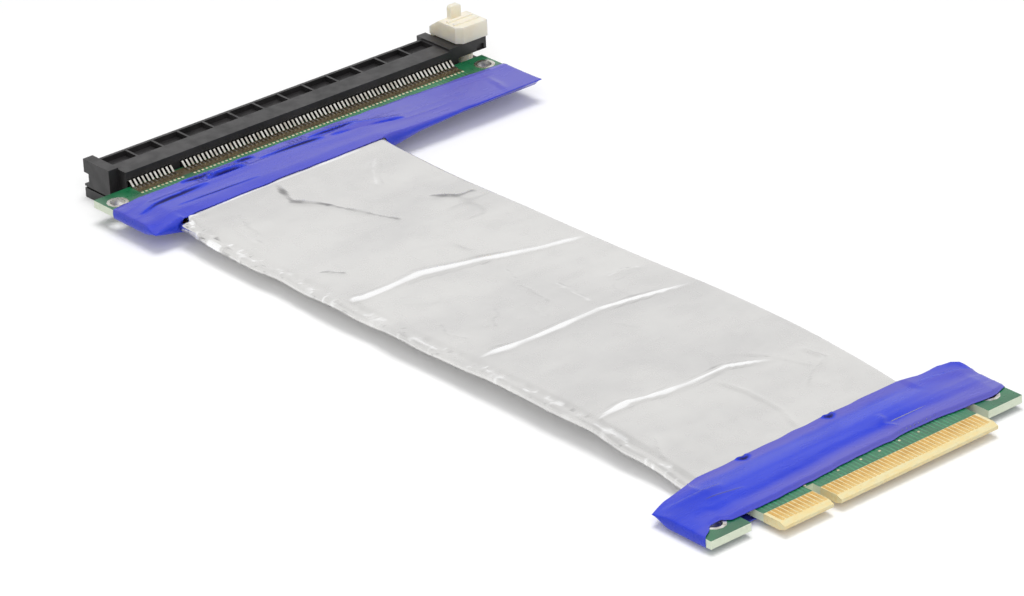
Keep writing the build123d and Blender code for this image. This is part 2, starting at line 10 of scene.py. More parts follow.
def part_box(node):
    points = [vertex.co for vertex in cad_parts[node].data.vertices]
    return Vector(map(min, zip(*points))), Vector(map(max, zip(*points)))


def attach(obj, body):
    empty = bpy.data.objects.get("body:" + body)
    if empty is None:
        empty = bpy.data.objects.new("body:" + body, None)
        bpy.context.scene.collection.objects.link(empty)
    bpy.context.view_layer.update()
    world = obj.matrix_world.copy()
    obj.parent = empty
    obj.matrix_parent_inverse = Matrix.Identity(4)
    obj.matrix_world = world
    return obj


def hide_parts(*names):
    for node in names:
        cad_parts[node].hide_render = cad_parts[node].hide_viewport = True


# Flat shielded extension cable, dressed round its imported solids.
# Sizes in this script are in millimetres unless a name says otherwise, and meshes are made in metres.
MM = 0.001

# Camera, fitted to the photograph's viewpoint
CAMERA_PLACE = (609.5, -519.6, 390.0)
CAMERA_YAW = 140.386
CAMERA_PITCH = 26.14
CAMERA_ROLL = -2.596
CAMERA_LENS = 164.1
CAMERA_NEAR = 10.0
CAMERA_FAR = 20000.0
SENSOR_WIDTH = 36.0

# Light
FLOOR_SIZE = 9000.0
FLOOR_COLOUR = (0.9, 0.9, 0.9, 1.0)
FLOOR_LIFT = 0.1
FLOOR_DROP = 0.02
WORLD_LEVEL = 0.33
OVERHEAD_LEVEL = 0.80
OVERHEAD_FROM = 0.60
OVERHEAD_TO = 0.95
KEY_PLACE = (-80.0, 70.0, 1250.0)
KEY_SIZE = 620.0
KEY_WATTS = 9.3
FILL_PLACE = (520.0, -440.0, 560.0)
FILL_SIZE = 700.0
FILL_WATTS = 2.8
WHITE = (1.0, 1.0, 1.0, 1.0)


def srgb(red, green, blue):
    """A colour written as it shows on a screen, from 0 to 255, as linear values and full cover."""
    parts = [c / 255 for c in (red, green, blue)]
    return (*(c / 12.92 if c <= 0.04045 else ((c + 0.055) / 1.055) ** 2.4 for c in parts), 1.0)


# Colours
BLACK_MOULDING = srgb(30, 29, 30)
BLACK_WORN = srgb(50, 48, 49)
IVORY = srgb(246, 239, 222)
IVORY_SHADE = srgb(236, 225, 202)
TIN = srgb(226, 224, 218)
TIN_DULL = srgb(178, 172, 160)
SOLDER = srgb(238, 230, 198)
SOLDER_DULL = srgb(208, 198, 160)
# Pads painted brown, as shade under the wire ends
PAD_BROWN = srgb(112, 98, 72)
PAD_BRIGHT = srgb(146, 130, 96)
GOLD = srgb(228, 184, 104)
GOLD_DEEP = srgb(210, 166, 90)
GOLD_PALE = srgb(240, 208, 138)
MASK_GREEN = srgb(22, 110, 68)
MASK_GREEN_DARK = srgb(14, 88, 54)
MASK_TRACE = srgb(52, 144, 98)
BARE_BOARD = srgb(236, 214, 152)
BOARD_EDGE = srgb(222, 232, 208)
# Mask over the row of pads, painted brown as shade under the wire ends
PAD_ROW_SHADE = srgb(84, 74, 54)
FOIL_LIGHT = srgb(225, 224, 222)
FOIL_DARK = srgb(213, 212, 211)
# Painted highlight on the foil's crests, and painted shade in its wrinkles
FOIL_BRIGHT = srgb(255, 255, 255)
FOIL_SHADE = srgb(138, 137, 138)
TAPE_BLUE = srgb(42, 64, 211)
TAPE_DEEP = srgb(32, 54, 198)
# Painted sheen of reflected light on the tape, and painted shade in its folds
TAPE_SHEEN = srgb(96, 94, 192)
TAPE_FOLD = srgb(12, 10, 92)
RIBBON_GREY = srgb(168, 166, 164)
RIBBON_GREY_DARK = srgb(148, 146, 145)
RIBBON_RED = srgb(146, 58, 48)

# Borders between the finishes of one piece
BORDER = 0.1
MASK_BORDER = 0.08
FACE_UPRIGHT = (0.93, 0.985)
SPOT_PITCH = 1.3
NOISE_ROUGHNESS = 0.55

# Squares of the distance from a hole's middle where its plating ends
HOLE_SQUARES = (2.4, 2.9)


class Nodes:
    """Nodes of a material or of the world."""

    def __init__(self, owner):
        owner.use_nodes = True
        self.nodes = owner.node_tree.nodes
        self.links = owner.node_tree.links

    def feed(self, socket, value):
        """Links the value to a socket, or sets the socket to it."""
        if isinstance(value, bpy.types.NodeSocket):
            self.links.new(value, socket)
        else:
            socket.default_value = value

    def add(self, kind, **inputs):
        """A node of the kind, with its inputs fed."""
        node = self.nodes.new(kind)
        for name, value in inputs.items():
            self.feed(node.inputs[name.replace("_", " ")], value)
        return node

    def between(self, value, low, high, to_low=0.0, to_high=1.0):
        """The value's course from low to high, held to the range to_low to to_high."""
        ends = {"From_Min": low, "From_Max": high, "To_Min": to_low, "To_Max": to_high}
        node = self.add("ShaderNodeMapRange", Value=value, **ends)
        node.interpolation_type = "SMOOTHSTEP"
        return node.outputs["Result"]

    def maths(self, operation, first, second=0.0):
        """One sum of two values."""
        node = self.nodes.new("ShaderNodeMath")
        node.operation = operation
        self.feed(node.inputs[0], first)
        self.feed(node.inputs[1], second)
        return node.outputs["Value"]

    def seen_directly(self):
        """1 for rays from the camera, a mirror or through glass, and 0 for the rest."""
        rays = self.nodes.new("ShaderNodeLightPath").outputs
        mirrored = self.maths("MAXIMUM", rays["Is Camera Ray"], rays["Is Glossy Ray"])
        return self.maths("MAXIMUM", mirrored, rays["Is Transmission Ray"])


class Paint(Nodes):
    """One material and the nodes that drive it."""

    def __init__(self, name, metallic=0.0, roughness=0.5, ior=1.5, coat=0.0, coat_roughness=0.1):
        self.material = bpy.data.materials.new(name)
        super().__init__(self.material)
        self.shader = self.nodes["Principled BSDF"]
        self.shader.inputs["Metallic"].default_value = metallic
        self.shader.inputs["Roughness"].default_value = roughness
        self.shader.inputs["IOR"].default_value = ior
        self.shader.inputs["Coat Weight"].default_value = coat
        self.shader.inputs["Coat Roughness"].default_value = coat_roughness
        self.surface = None

    def place(self, stretch=(1.0, 1.0, 1.0)):
        """Place on the object in millimetres, each axis divided by its stretch."""
        coordinates = self.nodes.new("ShaderNodeTexCoord")
        scale = tuple(1 / (MM * s) for s in stretch)
        mapping = self.add("ShaderNodeMapping", Vector=coordinates.outputs["Object"], Scale=scale)
        return mapping.outputs["Vector"]

    def noise(self, size, stretch=(1.0, 1.0, 1.0), detail=3.0, distortion=0.0):
        """Noise whose lumps are about size millimetres across."""
        return self.add(
            "ShaderNodeTexNoise",
            Vector=self.place(stretch),
            Scale=1 / size,
            Detail=detail,
            Roughness=NOISE_ROUGHNESS,
            Distortion=distortion,
        ).outputs["Fac"]

    def painted(self, name):
        """A tone that the mesh carries at its points."""
        node = self.nodes.new("ShaderNodeAttribute")
        node.attribute_name = name
        return node.outputs["Fac"]

    def axis(self, name):
        """One coordinate of the place on the object, in millimetres."""
        node = self.add("ShaderNodeSeparateXYZ", Vector=self.place())
        return node.outputs[name]

    def upright(self):
        """How far the surface faces straight up or down, from 0 to 1."""
        coordinates = self.nodes.new("ShaderNodeTexCoord")
        parts = self.add("ShaderNodeSeparateXYZ", Vector=coordinates.outputs["Normal"])
        return self.maths("ABSOLUTE", parts.outputs["Z"])

    def mix(self, factor, first, second):
        """Colour between two others."""
        node = self.nodes.new("ShaderNodeMix")
        node.data_type = "RGBA"
        self.links.new(factor, node.inputs["Factor"])
        for socket, value in zip([s for s in node.inputs if s.type == "RGBA"], (first, second)):
            self.feed(socket, value)
        return [s for s in node.outputs if s.type == "RGBA"][0]

    def colour(self, socket):
        """Drives the base colour."""
        self.links.new(socket, self.shader.inputs["Base Color"])

    def rough(self, factor, low, high):
        """Drives the roughness between two values."""
        self.links.new(self.between(factor, 0.3, 0.7, low, high), self.shader.inputs["Roughness"])

    def bump(self, height, distance, strength=1.0):
        """Adds relief of the given depth in millimetres on top of what is there."""
        node = self.add("ShaderNodeBump", Height=height, Strength=strength, Distance=distance * MM)
        if self.surface is not None:
            self.links.new(self.surface, node.inputs["Normal"])
        self.surface = node.outputs["Normal"]
        self.links.new(self.surface, self.shader.inputs["Normal"])


def moulding(name, colour, worn, roughness, glow=0.0):
    """Moulded plastic: slight cloudiness, a fine spark-eroded grain and faint flow marks.

    glow is how far light passes through its skin, as in pale nylon.
    """
    paint = Paint(name, roughness=roughness, ior=1.48)
    paint.shader.inputs["Subsurface Weight"].default_value = glow
    paint.shader.inputs["Subsurface Radius"].default_value = (1.0, 0.85, 0.6)
    paint.shader.inputs["Subsurface Scale"].default_value = 3.0 * MM
    cloud = paint.noise(6.0, detail=4.0)
    paint.colour(paint.mix(paint.between(cloud, 0.35, 0.75), colour, worn))
    paint.rough(paint.noise(2.5), roughness - 0.06, roughness + 0.08)
    paint.bump(paint.noise(0.22, detail=2.0), 0.012)
    paint.bump(paint.noise(7.0, stretch=(1.0, 3.0, 1.0)), 0.05, 0.5)
    return paint.material


def plated(name, bright, dull, roughness, size):
    """Plated or tinned metal with cloudy tarnish and fine scratches."""
    paint = Paint(name, metallic=1.0, roughness=roughness)
    paint.colour(paint.mix(paint.between(paint.noise(size), 0.35, 0.7), bright, dull))
    paint.rough(paint.noise(size / 2), roughness - 0.07, roughness + 0.1)
    paint.bump(paint.noise(size / 6, stretch=(4.0, 1.0, 1.0)), 0.006)
    return paint.material


def gold_fingers(name, back, front):
    """Gold plate, paler towards the front of the fingers where cards have rubbed it."""
    paint = Paint(name, metallic=1.0, roughness=0.3)
    cloud = paint.mix(paint.between(paint.noise(1.8), 0.3, 0.7), GOLD, GOLD_DEEP)
    worn = paint.between(paint.axis("X"), back + 0.3 * (front - back), front + 0.6)
    paint.colour(paint.mix(worn, cloud, GOLD_PALE))
    paint.rough(paint.noise(0.9), 0.22, 0.38)
    paint.bump(paint.noise(0.3, stretch=(4.0, 1.0, 1.0)), 0.005)
    return paint.material


def near_holes(paint, along_x, along_y, holes):
    """1 beside a hole, and 0 elsewhere."""
    near = None
    for hole_x, hole_y in holes:
        away_x = paint.maths("SUBTRACT", along_x, hole_x)
        away_y = paint.maths("SUBTRACT", along_y, hole_y)
        square_x = paint.maths("MULTIPLY", away_x, away_x)
        square_y = paint.maths("MULTIPLY", away_y, away_y)
        found = paint.between(paint.maths("ADD", square_x, square_y), *HOLE_SQUARES, 1.0, 0.0)
        near = found if near is None else paint.maths("MAXIMUM", near, found)
    return near


def within(paint, value, low, high):
    """1 where the value lies between low and high, and 0 elsewhere."""
    above = paint.between(value, low - BORDER, low + BORDER)
    below = paint.between(value, high - BORDER, high + BORDER, 1.0, 0.0)
    return paint.maths("MULTIPLY", above, below)


def circuit_board(name, holes, bare_tongue=None, window=None):
    """Solder mask over glass laminate, with plated walls in the holes.

    The laminate shows on the edges and on the front of the tongue, and the mask is painted brown inside
    the window, as shade under the wire ends; the window is given as low X, high X, low Y and high Y.
    bare_tongue is the X where the tongue's mask ends and the tongue's low and high Y. holes are the
    X, Y places of the plated holes.
    """
    paint = Paint(name, roughness=0.32, ior=1.5, coat=0.35, coat_roughness=0.18)
    weave = paint.noise(0.6, stretch=(1.0, 4.0, 1.0), detail=2.0)
    along_x, along_y = paint.axis("X"), paint.axis("Y")
    mask = paint.mix(paint.between(paint.noise(5.0), 0.3, 0.75), MASK_GREEN, MASK_GREEN_DARK)
    facing = paint.between(paint.upright(), *FACE_UPRIGHT)
    wall = paint.between(facing, 0.0, 1.0, 1.0, 0.0)
    plated_wall = paint.maths("MULTIPLY", wall, near_holes(paint, along_x, along_y, holes))
    edge = BOARD_EDGE
    if bare_tongue is not None:
        mask_end, tongue_low, tongue_high = bare_tongue
        covered = paint.between(along_x, mask_end - MASK_BORDER, mask_end + MASK_BORDER, 1.0, 0.0)
        before = paint.between(along_y, tongue_low - BORDER, tongue_low, 1.0, 0.0)
        past = paint.between(along_y, tongue_high, tongue_high + BORDER)
        covered = paint.maths("MAXIMUM", covered, paint.maths("MAXIMUM", before, past))
        facing = paint.maths("MULTIPLY", facing, covered)
        edge = paint.mix(covered, BARE_BOARD, BOARD_EDGE)
    bare = paint.mix(paint.between(weave, 0.3, 0.7, 0.0, 0.35), edge, BOARD_EDGE)
    if window is not None:
        low_x, high_x, low_y, high_y = window
        inside_x = within(paint, along_x, low_x, high_x)
        inside_y = within(paint, along_y, low_y, high_y)
        # Painted shade of the wire ends over the row of pads
        mask = paint.mix(paint.maths("MULTIPLY", inside_x, inside_y), mask, PAD_ROW_SHADE)
    paint.colour(paint.mix(plated_wall, paint.mix(facing, bare, mask), TIN))
    paint.links.new(plated_wall, paint.shader.inputs["Metallic"])
    paint.rough(paint.noise(1.5), 0.26, 0.4)
    paint.bump(weave, 0.01)
    return paint.material


def mask_over_copper(name):
    """Solder mask where it covers a copper trace."""
    paint = Paint(name, roughness=0.3, ior=1.5, coat=0.35, coat_roughness=0.18)
    paint.colour(paint.mix(paint.between(paint.noise(2.0), 0.3, 0.7), MASK_TRACE, MASK_GREEN))
    paint.bump(paint.noise(0.4), 0.005)
    return paint.material


def ribbon_insulation(name, low_y, pitch):
    """Grey insulation, ribbed over each wire, with a red wire along the low edge."""
    paint = Paint(name, roughness=0.45, ior=1.5)
    along = paint.axis("Y")
    phase = paint.maths("MULTIPLY", paint.maths("SUBTRACT", along, low_y), 2 * pi / pitch)
    rib = paint.maths("COSINE", phase)
    red = paint.between(along, low_y + pitch - BORDER, low_y + pitch + BORDER, 1.0, 0.0)
    grey = paint.mix(paint.noise(3.0), RIBBON_GREY, RIBBON_GREY_DARK)
    paint.colour(paint.mix(red, grey, RIBBON_RED))
    paint.bump(rib, -0.12)
    paint.bump(paint.noise(0.5), 0.01)
    return paint.material


def foil_finish(name):
    """Crumpled aluminium foil, with painted highlights on the crests of its creases and painted shade in its
    wrinkles.
    """
    paint = Paint(name, metallic=1.0, roughness=0.26)
    cloud = paint.noise(16.0, stretch=(1.0, 1.6, 1.0), detail=4.0)
    plain = paint.mix(paint.between(cloud, 0.35, 0.75), FOIL_LIGHT, FOIL_DARK)
    tone = paint.painted(PAINTED_LIGHT)
    lit = paint.mix(paint.between(tone, 0.55, 0.9), plain, FOIL_BRIGHT)
    paint.colour(paint.mix(paint.between(tone, 0.05, 0.45, 1.0, 0.0), lit, FOIL_SHADE))
    paint.rough(paint.noise(4.0, detail=4.0), 0.2, 0.3)
    paint.bump(paint.noise(2.6, stretch=(1.0, 2.0, 1.0), detail=4.0, distortion=0.5), 0.03, 0.5)
    paint.bump(paint.noise(0.5, detail=2.0), 0.002)
    return paint.material


def tape_finish(name, wire_from):
    """Glossy blue tape, with a painted sheen of reflected light, and painted shade where a wrinkle drops.

    Over the solder joints, one a millimetre from wire_from, it shows a bump for each of them, with painted
    shade between them.
    """
    paint = Paint(name, roughness=0.27, ior=1.5)
    paint.shader.inputs["Specular IOR Level"].default_value = TAPE_GLOSS
    tone = paint.painted(PAINTED_LIGHT)
    cloud = paint.noise(6.0, stretch=(1.0, 3.0, 1.0), detail=4.0)
    plain = paint.mix(paint.between(cloud, 0.35, 0.75), TAPE_BLUE, TAPE_DEEP)
    streak = paint.between(paint.noise(3.0, stretch=(1.0, 6.0, 1.0), detail=3.0), 0.2, 0.8, -0.06, 0.06)
    # Painted sheen of reflected light where the tone is low
    sheen = paint.between(paint.maths("ADD", tone, streak), 0.0, 0.5, 1.0, 0.0)
    with_sheen = paint.mix(sheen, plain, TAPE_SHEEN)
    phase = paint.maths("MULTIPLY", paint.maths("SUBTRACT", paint.axis("Y"), wire_from), 2 * pi)
    wave = paint.maths("MULTIPLY", paint.maths("COSINE", phase), paint.painted(JOINTS))
    rows = paint.maths("COSINE", paint.maths("MULTIPLY", paint.axis("X"), 2 * pi / SPOT_PITCH))
    spots = paint.maths("MULTIPLY", wave, paint.between(rows, -1.0, 1.0, 0.3, 1.0))
    # Painted shade between the joints' bumps and in the folds, where the tone is high
    between_joints = paint.between(spots, -0.2, -1.0, 0.0, 0.7)
    dips = paint.maths("MAXIMUM", between_joints, paint.between(tone, 0.55, 0.95))
    paint.colour(paint.mix(dips, with_sheen, TAPE_FOLD))
    paint.rough(paint.noise(3.0, stretch=(1.0, 3.0, 1.0)), 0.2, 0.32)
    paint.bump(wave, 0.08)
    paint.bump(paint.noise(2.2, stretch=(1.0, 5.0, 1.0), detail=3.0), 0.03, 0.5)
    paint.bump(paint.noise(0.3, stretch=(1.0, 2.0, 1.0), detail=2.0), 0.003)
    return paint.material


def steady_noise(u, v, seed):
    """Smooth noise from -1 to 1 over a grid of one unit, the same on every run."""
    cell_u, cell_v = np.floor(u).astype(np.int64), np.floor(v).astype(np.int64)

    def corner(a, b):
        mixed = (a * 374761393 + b * 668265263 + seed * 1013904223) & 0x7FFFFFFF
        mixed = ((mixed ^ (mixed >> 13)) * 1274126177) & 0x7FFFFFFF
        return (mixed ^ (mixed >> 16)) / 0x3FFFFFFF - 1

    part_u, part_v = smooth(u - cell_u), smooth(v - cell_v)
    low = corner(cell_u, cell_v) * (1 - part_u) + corner(cell_u + 1, cell_v) * part_u
    high = corner(cell_u, cell_v + 1) * (1 - part_u) + corner(cell_u + 1, cell_v + 1) * part_u
    return low * (1 - part_v) + high * part_v


def smooth(share):
    """A share from 0 to 1 with a gentle start and end."""
    held = np.clip(share, 0, 1)
    return held * held * (3 - 2 * held)


def step(value, low, high):
    """0 below low, 1 above high and a gentle rise between."""
    return smooth((value - low) / (high - low))


def folds(u, v, seed):
    """Sharp-topped ridges, from 0 to 1."""
    return (1 - np.abs(steady_noise(u, v, seed))) ** 3


def from_polyline(x, y, points):
    """Distance from each place to a line of points, and the share of the way along it."""
    best = np.full(x.shape, 1e9)
    along = np.zeros(x.shape)
    count = len(points) - 1
    for i, ((ax, ay), (bx, by)) in enumerate(zip(points, points[1:])):
        run_x, run_y = bx - ax, by - ay
        share = np.clip(((x - ax) * run_x + (y - ay) * run_y) / (run_x**2 + run_y**2), 0, 1)
        gap = np.hypot(x - ax - share * run_x, y - ay - share * run_y)
        nearer = gap < best
        best = np.where(nearer, gap, best)
        along = np.where(nearer, (i + share) / count, along)
    return best, along


def signed_distance(x, y, points):
    """Distance from a line of points, below zero on its right, and the share of the way along it."""
    gap, along = from_polyline(x, y, points)
    (ax, ay), (bx, by) = points[0], points[-1]
    turn = (bx - ax) * (y - ay) - (by - ay) * (x - ax)
    return np.where(turn < 0, -gap, gap), along


def paint_tone(piece, name, tones):
    """Stores one tone a point, from 0 to 1, for the piece's material."""
    layer = piece.data.attributes.new(name, "FLOAT", "POINT")
    layer.data.foreach_set("value", np.clip(tones, 0, 1).ravel())


def make_piece(name, points, faces, material, body="cable_assembly", smooth_shaded=True):
    """A mesh piece from points in millimetres, riding on its body."""
    mesh = bpy.data.meshes.new(name)
    mesh.from_pydata([tuple(p) for p in np.asarray(points) * MM], [], faces)
    mesh.validate()
    mesh.update()
    mesh.materials.append(material)
    if smooth_shaded:
        mesh.shade_smooth()
    piece = bpy.data.objects.new(name, mesh)
    bpy.context.scene.collection.objects.link(piece)
    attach(piece, body)
    return piece


def grid_faces(rows, columns, start=0, flipped=False, closed=False):
    """Four-sided faces of a grid of points, whose rows may each close on themselves."""
    faces = []
    for i in range(rows - 1):
        for j in range(columns if closed else columns - 1):
            a = start + i * columns + j
            b = start + i * columns + (j + 1) % columns
            face = (a, a + columns, b + columns, b)
            faces.append(face[::-1] if flipped else face)
    return faces


def thicken(piece, thickness):
    """Gives a skin its thickness, inward."""
    shell = piece.modifiers.new("thickness", "SOLIDIFY")
    shell.thickness = thickness * MM
    shell.offset = -1.0


def section(low, high, inner, low_side, high_side):
    """Y of each point from the low edge to the high one, and how full the piece is there.

    Each side is given as the radius of its rounding and the number of points on it.
    """
    (low_radius, low_count), (high_radius, high_count) = low_side, high_side
    bends = np.linspace(0, pi / 2, low_count + 1)[:-1]
    left = [(low + low_radius * (1 - cos(a)), sin(a)) for a in bends]
    bends = np.linspace(pi / 2, 0, high_count + 1)[1:]
    right = [(high - high_radius * (1 - cos(a)), sin(a)) for a in bends]
    return np.array([*left, *[(y, 1.0) for y in inner], *right]).T


def node_box(name):
    """Low and high corner of a node, in millimetres."""
    low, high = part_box(name)
    return np.array(low) / MM, np.array(high) / MM


# Foil
# Tone that the mesh carries for painted light: highlights and shade on the foil, sheen and shade on the tape
PAINTED_LIGHT = "tone"
FOIL_SKIN = 0.1
FOIL_HALF = 1.12
FOIL_CLEAR = 0.12
FOIL_ROUND = 0.9
FOIL_UNDER_SLOT = 6.0
FOIL_UNDER_EDGE = 1.8
FOIL_ROWS = 232
FOIL_COLUMNS = 96
LEVEL_SPAN = 15
CRUMPLED_BY_SLOT = (-50.0, -63.0)
CRUMPLED_BY_EDGE = (62.0, 79.0)

# Distances from the ends of the foil that shows, up to where the tapes hold it still
FREE_BY_SLOT = (-3.4, -1.4)
FREE_BY_EDGE = (0.2, 2.2)

# Hem beyond the ribbons' side, with its border and its turn given as distances from there
RIBBON_SIDE = -40.6
HEM_BORDER = (-1.4, -0.3)
HEM_TURN = (-2.0, 1.5)
HEM_HALF = 0.72
HEM_SETBACK = 3.6
HEM_SETBACK_FROM = 58.0
HEM_BUSY = (-38.0, -58.0)

# Creases seen in the photograph: a width, a height and a tone, then the places on the cable that the
# crease joins. The tone is painted light: a painted highlight above zero where the crest shines, and
# painted shade below it where the wrinkle is in shade.
CREASES = (
    (0.95, 0.34, 1.0, (-15.6, -42.6), (-14.6, -39.1), (-14.8, -25.1), (-11.3, -13.2), (-7.1, -1.9),
     (-4.5, 9.6)),
    (0.75, 0.3, 1.0, (20.6, -41.0), (21.5, -33.7), (22.0, -22.4), (21.7, -12.3), (23.0, -5.3), (26.5, 9.6)),
    (0.65, 0.3, 1.0, (54.4, -43.1), (53.3, -33.4), (55.0, -26.1), (55.5, -20.6), (55.3, -11.5),
     (59.5, -2.1)),
    (0.35, 0.25, -0.35, (57.4, -16.6), (64.4, -14.6), (72.2, -14.0), (79.0, -16.0)),
    (0.7, 0.3, -1.0, (-66.6, -19.6), (-57.8, -22.1), (-53.4, -18.4), (-50.5, -16.9)),
    (0.5, 0.22, -0.8, (-51.5, -17.4), (-43.1, -14.2), (-35.9, -11.6)),
    (0.5, 0.24, -0.8, (-41.6, -1.1), (-37.3, 2.4), (-36.5, 7.7)),
    (0.6, 0.24, 0.35, (-62.3, 2.7), (-57.5, -1.7), (-51.7, -5.5)),
    (0.4, 0.2, 0.4, (11.6, -1.8), (12.0, 2.6), (13.3, 6.0)),
    (0.5, 0.22, -0.8, (-29.5, -37.9), (-25.1, -34.5)),
    (0.4, 0.18, -0.45, (2.0, -14.9), (13.1, -16.3)),
    (0.45, 0.2, 0.4, (6.2, -10.1), (12.9, -10.7), (18.5, -11.0)),
    (0.35, 0.14, 0.25, (-5.4, -12.6), (1.3, -14.9)),
    (0.35, 0.16, 0.3, (11.6, -19.6), (17.0, -21.2)),
    (0.8, 0.18, 0.2, (5.6, -25.5), (12.1, -31.8)),
    (0.4, 0.24, -0.45, (58.6, 3.2), (64.6, 4.9), (66.7, -0.8), (69.9, -5.2)),
    (0.4, 0.22, -0.4, (64.9, -38.0), (72.0, -42.1)),
    (0.3, 0.16, 0.2, (52.0, -8.0), (57.0, -3.0), (66.0, 1.5)),
    (0.5, 0.2, 0.25, (-62.0, -33.0), (-55.0, -37.5), (-47.0, -38.5)),
    (0.4, 0.16, -0.4, (4.0, -36.0), (9.0, -38.5), (14.0, -36.5)),
    (0.4, 0.1, 0.9, (-65.9, -42.4), (-66.4, -38.5), (-67.1, -10.0), (-67.1, 9.0)),
)


def foil_relief(x, y, seed):
    """Height of the foil above a smooth sleeve, and the painted shade in its crumples."""
    height = 0.05 * steady_noise(x / 16, y / 12, seed) + 0.05
    soft = folds(x / 15, y / 26, seed + 1) * step(steady_noise(x / 22, y / 20, seed + 2), -0.1, 0.6)
    small = folds(x / 6, y / 8, seed + 3) * step(steady_noise(x / 18, y / 14, seed + 4), 0.1, 0.7)
    near_end = np.maximum(step(x, *CRUMPLED_BY_SLOT), step(x, *CRUMPLED_BY_EDGE))
    patches = step(steady_noise(x / 7, y / 9, seed + 6), -0.2, 0.5)
    crumple = near_end * folds(x / 5, y / 7, seed + 5) * patches
    height += 0.07 * soft + 0.05 * small + 0.08 * crumple
    tone = 0.5 - 0.10 * soft**2 - 0.16 * small**2 - 0.2 * crumple**2
    return height, tone


def crease_relief(x, y):
    """Height of the creases, with a painted highlight and painted shade beside it, or painted shade with a
    paler line.
    """
    height, tone = np.zeros(x.shape), np.zeros(x.shape)
    for width, rise, shine, *points in CREASES:
        gap, along = signed_distance(x, y, points)
        wander = 1 + 0.35 * steady_noise(along * 7, along * 0 + rise * 10, 9)
        fade = step(along, -0.02, 0.1) * step(1.02 - along, 0, 0.15)
        wide = width * wander
        height += rise * wander * fade * np.exp(-((gap / (1.3 * wide)) ** 2))
        strength = fade * (0.75 + 0.25 * steady_noise(along * 12, along * 0 + rise * 20, 10))
        mark = strength * np.exp(-((gap / wide) ** 4))
        beside = strength * np.exp(-(((gap - 1.9 * wide) / (0.7 * wide)) ** 2))
        if shine > 0:
            tone += 0.6 * shine * mark - 0.2 * beside
        else:
            tone += 0.42 * shine * mark + 0.1 * beside
    return height, tone


def cable_levels(nodes, stations):
    """Middle and half the height of the two ribbons at each X, in the middle of the cable."""
    far = 100.0
    down = Vector((0, 0, -1))
    tops, bottoms = [], []
    for x in stations:
        over, top, _, _ = nodes["ribbon_upper"].ray_cast(Vector((x, 0, far)) * MM, down)
        under, low, _, _ = nodes["ribbon_lower"].ray_cast(Vector((x, 0, -far)) * MM, -down)
        tops.append(top.z / MM if over else np.nan)
        bottoms.append(low.z / MM if under else np.nan)
    window = np.hanning(LEVEL_SPAN)
    levels = []
    for line in (np.array(tops), np.array(bottoms)):
        known = ~np.isnan(line)
        line = np.interp(stations, stations[known], line[known])
        padded = np.pad(line, len(window) // 2, mode="edge")
        levels.append(np.convolve(padded, window / window.sum(), mode="valid"))
    return (levels[0] + levels[1]) / 2, (levels[0] - levels[1]) / 2


def hem_relief(x, y):
    """Height of the crumpled hem, which is busiest by the slot, and its painted highlights and painted
    shade.
    """
    busy = 0.6 + 0.4 * step(x, *HEM_BUSY)
    wrinkled = folds(x / 2.8, y / 2.0, 20)
    fine = folds(x / 2.0, y / 1.4, 26)
    height = busy * (0.2 * wrinkled + 0.08 * steady_noise(x / 1.3, y / 1.3, 21))
    tone = busy * (0.5 * wrinkled**2 - 0.45 * fine**3) + 0.02
    return height, tone


def foil_sleeve(nodes, material):
    """Flattened foil sleeve round the ribbons, creased across, with a crumpled hem along the low edge.

    Its ends lie under the tapes, where they flare with the ribbons.
    """
    low, high = node_box("foil_shield")
    stations = np.linspace(low[0] - FOIL_UNDER_SLOT, high[0] + FOIL_UNDER_EDGE, FOIL_ROWS)
    middles, halves = cable_levels(nodes, stations)
    across = np.linspace(low[1], high[1], FOIL_COLUMNS)
    inner = across[(across > low[1] + HEM_HALF) & (across < high[1] - FOIL_ROUND)]
    ys, fullness = section(low[1], high[1], inner, (HEM_HALF, 4), (FOIL_ROUND, 6))

    x, y = np.meshgrid(stations, ys, indexing="ij")
    middle = middles[:, None] + 0 * y
    full = np.maximum(FOIL_HALF, halves + FOIL_CLEAR)[:, None]
    hem = step(y - RIBBON_SIDE, *HEM_BORDER)
    by_slot = step(-x, HEM_SETBACK_FROM, -stations[0])
    x = x + HEM_SETBACK * (1 - step(y - RIBBON_SIDE, *HEM_TURN)) * by_slot
    half = HEM_HALF + (full - HEM_HALF) * hem
    crinkle, hem_tone = hem_relief(x, y)
    crinkle, hem_tone = crinkle * (1 - hem), hem_tone * (1 - hem)
    sway = (1 - hem) * 0.3 * steady_noise(x / 9, y * 0, 22)
    edge_wander = 0.35 * (1 - hem) * steady_noise(x / 7, y * 0, 23)
    slack = 0.22 * steady_noise(x / 30, y / 30, 24) * hem * (1 - hem * 0.5)
    free = step(x - low[0], *FREE_BY_SLOT) * step(high[0] - x, *FREE_BY_EDGE)

    sheets, tones = [], []
    for side, seed in ((1, 0), (-1, 40)):
        relief, tone = foil_relief(x, y, seed)
        if side > 0:
            creases, shine = crease_relief(x, y)
            relief, tone = relief + creases, tone + shine
        tones.append(0.5 + (tone - 0.5) * hem + hem_tone)
        bulge = (relief * hem + crinkle) * free
        z = middle + (sway + slack) * free + side * fullness * (half + bulge)
        sheets.append(np.stack([x, y + edge_wander * (1 - fullness * 0.5), z], axis=-1))
    over, under = sheets
    loop = np.concatenate([over, under[:, -2:0:-1]], axis=1)
    loop_tones = np.concatenate([tones[0], tones[1][:, -2:0:-1]], axis=1)
    faces = grid_faces(*loop.shape[:2], closed=True)
    piece = make_piece("foil_sleeve", loop.reshape(-1, 3), faces, material)
    # Painted highlights and painted shade of the creases, crumples and hem
    paint_tone(piece, PAINTED_LIGHT, loop_tones)
    thicken(piece, FOIL_SKIN)
    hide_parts("foil_shield")


